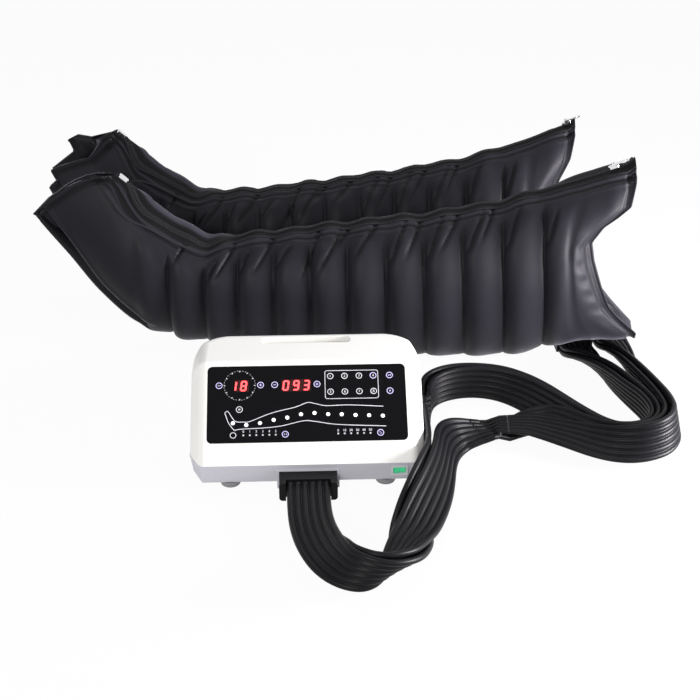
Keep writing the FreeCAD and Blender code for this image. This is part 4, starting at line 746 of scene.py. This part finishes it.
def toeMove(points, share, turns, shape):
    # Toe end: each place from underside 0 to ridge 1 moves by its wall's x and z, fading towards the heel.
    place = (1 + np.cos(turns)) / 2
    fade = smoothStep(shape["toeFade"], 1.0, share)[:, None]
    farWall = np.sin(turns) > 0
    for axis, key in ((0, "toeX"), (2, "toeZ")):
        nearMove = np.interp(place, toePlaces, shape[key])
        farMove = np.interp(place, toePlaces, shape.get(key + "Far", shape[key]))
        points[..., axis] += fade * np.where(farWall, farMove, nearMove)


def flatStations(share, shape):
    # Stations whose thickness falls away over the last stretch to the toe.
    stations = stationsAt(share)
    stations[:, 4] *= 1 - shape["toeFlat"] * smoothStep(shape["toeFade"], 1.0, share)
    return np.column_stack([stations, smoothStep(0.72, 0.83, share)])


def sleeveOuter(turns, shape):
    # Oval stations, then moves along the surface normal: chambers, seams, creases, bands, hems, sole gap.
    look, seed = sleeveLook, shape["seed"]
    share = np.linspace(0, 1, look["rings"])
    stations = flatStations(share, shape)
    turns = np.broadcast_to(turns, (len(share), len(turns)))
    points = sleeveOval(stations, turns, 1.0)
    normal = surfaceNormals(points)
    x, y, z = points[..., 0], points[..., 1], points[..., 2]
    nearSide = smoothStep(0.0, 0.25, -np.sin(turns))
    farSide = smoothStep(0.0, 0.25, np.sin(turns))
    ridge = np.stack([stations[:, 2], 0 * stations[:, 2], stations[:, 3]], -1)[:, None]
    fromRidge = np.linalg.norm(points - ridge, axis=-1)
    drop = np.abs(fromRidge * np.sign(-np.sin(turns) + 1e-9) - zipperLean(share)[:, None])
    part, inside, toSeam = chamberPart(x, z)
    below = smoothStep(look["topFree"], look["topFree"] + look["topBlend"],
                       drop + 6 * np.sin(x / 11.0 + seed))
    leaned = 2 * part ** look["puffLean"] - 1
    lowFade = 1 - 0.55 * (1 - smoothStep(4, 46, z))
    bulge = (np.clip(1 - leaned**2, 0, 1) - 0.5) * look["puff"] * inside * lowFade
    valley = np.exp(-toSeam / look["seamWidth"]) * look["seamDepth"] * lowFade
    move = (bulge - valley) * below
    fold = np.zeros_like(x)
    for crease in creases:
        found = segmentDepth(x, z, *crease, look["creaseWidth"])
        fold = np.where(np.abs(found) > np.abs(fold), found, fold)
    move -= fold * look["creaseDepth"]
    wave = np.sin(x / 9.3 + seed) * np.sin(x / 23.0 + 1.3) * (1 - smoothStep(400, 470, x))
    pipe = bell(drop, look["pipe"] + 0.8 * wave, 2.0)
    second = bell(drop, look["secondBand"] + 2.0 * wave, 3.0)
    move += look["pipeRise"] * pipe + 1.1 * second
    move -= 1.6 * bell(drop, look["pipe"] + 5.5 + wave, 3.0)
    lumps = np.sin(x / 31 + z / 47 + seed) * np.sin(z / 23 - x / 57 + 0.7)
    lumps += 0.45 * np.sin(x / 13.1 + 2 * np.sin(z / 19 + seed)) * (1 - below)
    move += 0.6 * lumps * smoothStep(12, 24, drop)
    footPart = (smoothStep(0.765, 0.81, share) * (1 - smoothStep(0.985, 1.0, share)))[:, None]
    soleTurn = turns - math.pi
    a, b, c, d = look["soleGap"]
    groove = smoothStep(a, b, soleTurn) * (1 - smoothStep(c, d, soleTurn)) * footPart
    move -= look["soleDepth"] * groove
    move += footPart * (2.2 * bell(soleTurn, 0.22, 0.14) + 2.0 * bell(soleTurn, 0.82, 0.06))
    back = bell(fromRidge, 2.0, look["backWidth"])
    back = back * (smoothStep(0.68, 0.78, share) * (1 - smoothStep(0.93, 1.0, share)))[:, None]
    move += shape["flap"] * bell(fromRidge, look["flapPlace"], 6.0) * farSide * smoothStep(370, 430, x)
    rise = ridgeRise(x, shape) * np.exp(-fromRidge / 60)
    points = points + normal * (move + look["backLift"] * back)[..., None]
    points[..., 2] += rise
    points[..., 0] += mouthShift(points, stations[0], shape)
    toeMove(points, share, turns, shape)
    hemAway = points[:1, :, 0] - points[..., 0]
    hem = -look["hemDepth"] * bell(hemAway, look["hem"], 3.4) + 1.5 * bell(hemAway, 34, 14)
    hem -= 1.8 * (1 - smoothStep(7, 11, hemAway)) - 2.0 * (1 - smoothStep(2, 4, hemAway))
    hem += 1.3 * np.sin(z / 4.3 + seed) * bell(hemAway, 22, 8) * bell(z, 150, 60)
    toeAway = np.linalg.norm(points - points[-1:], axis=-1)
    hem -= 2.2 * bell(toeAway, look["toeHem"], 4.0)
    hem += 1.6 * (1 - smoothStep(1.5, 4.0, toeAway))
    points = points + normal * (hem * smoothStep(8, 22, drop))[..., None]
    points[..., 2] = np.maximum(points[..., 2], look["floor"])
    # Tone: painted shade in the seams, creases, sole gap, under the zipper band, in the groove beside the
    # piping and in the hem grooves at both ends; painted highlight on the piping and the lifted back strip.
    toeHemShade = bell(toeAway, look["toeHem"], 5.5) * nearSide
    tone = 0.30 - 0.24 * np.exp(-toSeam / 1.4) * below * lowFade - 0.28 * groove - 0.24 * toeHemShade
    tone -= 0.22 * bell(drop, look["pipe"] + 5.5 + wave,
                        2.4) + 0.28 * (1 - smoothStep(10, look["pipe"] - 3, drop))
    tone -= 0.26 * np.clip(fold, 0, 1) + 0.18 * bell(hemAway, look["hem"], 2.2)
    tone += 0.20 * pipe
    tone = np.maximum(tone, back * smoothStep(-2, 6, drop - look["pipe"] + 8))
    return points, np.clip(tone, 0.02, 1)


def toFloor(points, shift):
    # Turn about the vertical, then move to the sleeve's place, in metres.
    angle = math.radians(sleevePlace["turn"])
    x = points[..., 0] * math.cos(angle) - points[..., 1] * math.sin(angle) + shift[0]
    y = points[..., 0] * math.sin(angle) + points[..., 1] * math.cos(angle) + sleevePlace["rowY"] + shift[1]
    return np.stack([x, y, points[..., 2]], -1) * mm


def paintTone(piece, values):
    # One tone value per point, holding painted shade and painted highlight, read by the cloth finishes.
    attribute = piece.data.attributes.new("tone", "FLOAT", "POINT")
    attribute.data.foreach_set("value", np.ascontiguousarray(values.ravel(), dtype=np.float32))


def layCloth(piece, rings, uvRows, uvColumns):
    # UV in metres: u is the length along the piece, v the length round each ring.
    along = np.linalg.norm(np.diff(rings, axis=0), axis=-1).mean(1)
    u = np.concatenate([[0.0], np.cumsum(along), [np.sum(along)]])
    girths = np.linalg.norm(np.roll(rings, -1, axis=1) - rings, axis=-1)
    v = np.hstack([np.zeros((len(rings), 1)), np.cumsum(girths, axis=1)])
    v = np.vstack([v, v[:1]])
    layer = piece.data.uv_layers.new(name="cloth")
    pairs = np.stack([u[uvRows], v[uvRows, uvColumns]], -1)
    flat = np.zeros((len(piece.data.loops), 2), np.float32)
    flat[:pairs.size // 2] = pairs.reshape(-1, 2)
    layer.data.foreach_set("uv", flat.ravel())


def makeSleeve(name, node, shape):
    # Outer rings, a lip, the flat leg gap inside and a lip back make one closed tube.
    look = sleeveLook
    even = np.linspace(0, 2 * math.pi, look["around"], endpoint=False)
    turns = even - 0.35 * np.sin(even)
    outer, outerPaintedLight = sleeveOuter(turns, shape)
    innerShare = np.linspace(1, 0, look["innerRings"])
    innerStations = flatStations(innerShare, shape)
    innerTurns = np.broadcast_to(turns, (len(innerShare), len(turns)))
    inner = sleeveOval(innerStations, innerTurns, look["legGap"])
    inner[..., 0] += mouthShift(inner, innerStations[-1], shape)
    toeMove(inner, innerShare, innerTurns, shape)
    inner[..., 2] = np.maximum(inner[..., 2], look["floor"] + 3)
    inner[-1:, :, 0] -= look["mouthDepth"]
    toeLip = outer[-1:] * 0.6 + inner[:1] * 0.4
    thighLip = outer[:1] * 0.6 + inner[-1:] * 0.4
    rings = toFloor(np.concatenate([outer, toeLip, inner, thighLip]), shape["shift"])
    # Inside of the sleeve: an even painted shade, darker than the outside.
    innerPaintedShade = np.full((len(rings) - len(outer), look["around"]), 0.12)
    rows, columns = rings.shape[:2]
    r, c = np.meshgrid(np.arange(rows), np.arange(columns), indexing="ij")
    uvRows = np.stack([r, r, r + 1, r + 1], -1).reshape(-1, 4)
    uvColumns = np.stack([c, c + 1, c + 1, c], -1).reshape(-1, 4)
    faces = (uvRows % rows) * columns + uvColumns % columns
    piece = newPiece(name, rings, faces.tolist(), materials["fabric"])
    paintTone(piece, np.concatenate([outerPaintedLight, innerPaintedShade]))
    layCloth(piece, rings, uvRows, uvColumns)
    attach(piece, mainBody)
    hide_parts(node)
    return piece


tapeLook = {
    "steps": 900, "toothPitch": 1.5, "toothHeight": 0.45, "thick": 1.4, "side": 0.9,
    "across": (-13.2, -12.8, -12.0, -11.2, -10.6, -5.0, -3.6, -3.2, -0.8, 0.0, 0.8, 3.2, 3.6, 5.0, 10.6,
               11.2, 12.0, 12.8, 13.2),
    "height": (-1.6, 0.6, 1.6, 0.9, 0.1, 0.2, 0.6, 2.0, 2.1, 1.5, 2.1, 2.0, 0.6, 0.2, 0.1, 0.9, 1.6, 0.6,
               -1.6),
    # Tone per column: painted highlight on the raised piping, painted shade in the low grooves beside the
    # teeth and under the edges.
    "tone": (0.2, 0.6, 0.9, 0.5, 0.1, 0.06, 0.05, 0.3, 0.3, 0.1, 0.3, 0.3, 0.05, 0.06, 0.1, 0.5, 0.95, 0.6,
             0.2),
}


def makeTape(name, node, shape):
    # A profile of tape, teeth and piping laid on the sleeve: sin of each column's turn = across / half.
    look = tapeLook
    share = np.linspace(0, 1, look["steps"])
    stations = flatStations(share, shape)
    across = np.array(look["across"])[None] - zipperLean(share)[:, None]
    sine = np.clip(np.abs(across) / stations[:, 4:5], 0, look["side"]) ** (1 / sleeveLook["pinch"])
    turns = np.arcsin(sine) * np.sign(across)
    points = sleeveOval(stations, turns, 1.0)
    up = surfaceNormals(points, False)
    ridge = points[:, len(look["across"]) // 2]
    along = np.cumsum(np.r_[0, np.linalg.norm(np.diff(ridge, axis=0), axis=1)])
    teeth = look["toothHeight"] * np.sin(along * 2 * math.pi / look["toothPitch"] / 3)[:, None]
    height = np.array(look["height"])[None] + teeth * (np.abs(np.array(look["across"])) < 3)[None]
    points = points + up * height[..., None]
    points[..., 2] += ridgeRise(points[..., 0], shape) * np.exp(-np.abs(across) / 60)
    points[..., 0] += mouthShift(points, stations[0], shape)
    toeMove(points, share, turns, shape)
    under = points[:, ::-1] - up[:, ::-1] * look["thick"]
    rings = toFloor(np.concatenate([points, under], axis=1), shape["shift"])
    rows, columns = rings.shape[:2]
    r, c = np.meshgrid(np.arange(rows - 1), np.arange(columns), indexing="ij")
    uvRows = np.stack([r, r, r + 1, r + 1], -1).reshape(-1, 4)
    uvColumns = np.stack([c, c + 1, c + 1, c], -1).reshape(-1, 4)
    faces = (uvRows * columns + uvColumns % columns).tolist()
    faces.append(list(range(columns)))
    faces.append(list(range(rows * columns - 1, (rows - 1) * columns - 1, -1)))
    piece = newPiece(name, rings, faces, materials["tape"])
    # Painted shade and highlight, one value per column of the profile.
    tone = np.array(look["tone"] + look["tone"][::-1])
    paintTone(piece, np.tile(tone, (rows, 1)))
    layCloth(piece, rings, uvRows, uvColumns)
    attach(piece, mainBody)
    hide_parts(node)
    return piece


for side, shape in sleeveShapes.items():
    makeSleeve(side + "Sleeve", side + "_sleeve", shape)
    makeTape(side + "ZipperBand", side + "_zipper_tape", shape)
print("sleeves ready")


# Light and background
def areaLight(name, place, aim, size, power, color=(1, 1, 1)):
    data = bpy.data.lights.new(name, "AREA")
    data.shape = "RECTANGLE"
    data.size, data.size_y = size
    data.energy = power
    data.color = color
    lamp = bpy.data.objects.new(name, data)
    bpy.context.scene.collection.objects.link(lamp)
    lamp.location = place
    lamp.rotation_mode = "QUATERNION"
    lamp.rotation_quaternion = (Vector(aim) - Vector(place)).to_track_quat("-Z", "Y")
    return lamp


lights = {
    "keyRight": ((1.20, -0.16, 0.26), (0.40, 0.24, 0.14), (0.45, 0.45), 46, (1.0, 0.97, 1.0)),
    "frontLeft": ((-0.7, -1.9, 1.15), (0.0, 0.0, 0.1), (0.8, 0.6), 27, (1.0, 0.99, 0.96)),
    "topBack": ((0.2, 0.9, 1.9), (0.1, 0.1, 0.1), (1.4, 0.6), 11, (0.98, 0.98, 1.0)),
}
for lightName, (place, aim, size, power, color) in lights.items():
    areaLight(lightName, place, aim, size, power, color)


def whiteRays(nodes, links, path):
    # 1 for camera, glossy and transmission rays, the three added and held at 1.
    total = path.outputs["Is Camera Ray"]
    for rayName in ("Is Glossy Ray", "Is Transmission Ray"):
        adder = nodes.new("ShaderNodeMath")
        adder.operation = "ADD"
        adder.use_clamp = True
        links.new(total, adder.inputs[0])
        links.new(path.outputs[rayName], adder.inputs[1])
        total = adder.outputs["Value"]
    return total


# Pale floor: white where the camera looks, keeping a faint contact shadow
floorLook = {"half": 4.0, "tone": 0.74, "white": 0.95, "drop": 0.0004}


def floorMaterial():
    # Plain grey for light, mixed with white by the share of white rays.
    material = bpy.data.materials.new("floorWhite")
    material.use_nodes = True
    nodes, links = material.node_tree.nodes, material.node_tree.links
    nodes.clear()
    rays = nodes.new("ShaderNodeLightPath")
    plain = nodes.new("ShaderNodeBsdfDiffuse")
    plain.inputs["Color"].default_value = (floorLook["tone"],) * 3 + (1,)
    glow = nodes.new("ShaderNodeEmission")
    glow.inputs["Color"].default_value = (1, 1, 1, 1)
    share = nodes.new("ShaderNodeMath")
    share.operation = "MULTIPLY"
    share.inputs[1].default_value = floorLook["white"]
    links.new(whiteRays(nodes, links, rays), share.inputs[0])
    blend = nodes.new("ShaderNodeMixShader")
    links.new(share.outputs["Value"], blend.inputs["Fac"])
    links.new(plain.outputs["BSDF"], blend.inputs[1])
    links.new(glow.outputs["Emission"], blend.inputs[2])
    result = nodes.new("ShaderNodeOutputMaterial")
    links.new(blend.outputs["Shader"], result.inputs["Surface"])
    return material


floorGrid = np.array([[-1, -1], [1, -1], [1, 1], [-1, 1]]) * floorLook["half"]
floorPoints = np.column_stack([floorGrid, np.full(4, -floorLook["drop"])])
floor = newPiece("floor", floorPoints, [(0, 1, 2, 3)], floorMaterial(), False)

roomLook = {"color": (0.92, 0.93, 1.0, 1), "strength": 0.42}
world = bpy.data.worlds.new("whiteRoom")
bpy.context.scene.world = world
world.use_nodes = True
worldNodes = world.node_tree.nodes
worldLinks = world.node_tree.links
worldNodes.clear()
path = worldNodes.new("ShaderNodeLightPath")
seen = worldNodes.new("ShaderNodeBackground")
seen.inputs["Color"].default_value = (1, 1, 1, 1)
seen.inputs["Strength"].default_value = 1.0
room = worldNodes.new("ShaderNodeBackground")
room.inputs["Color"].default_value = roomLook["color"]
room.inputs["Strength"].default_value = roomLook["strength"]
mix = worldNodes.new("ShaderNodeMixShader")
output = worldNodes.new("ShaderNodeOutputWorld")
worldLinks.new(whiteRays(worldNodes, worldLinks, path), mix.inputs["Fac"])
worldLinks.new(room.outputs["Background"], mix.inputs[1])
worldLinks.new(seen.outputs["Background"], mix.inputs[2])
worldLinks.new(mix.outputs["Shader"], output.inputs["Surface"])
bpy.context.scene.view_settings.view_transform = "Standard"
print("light ready")
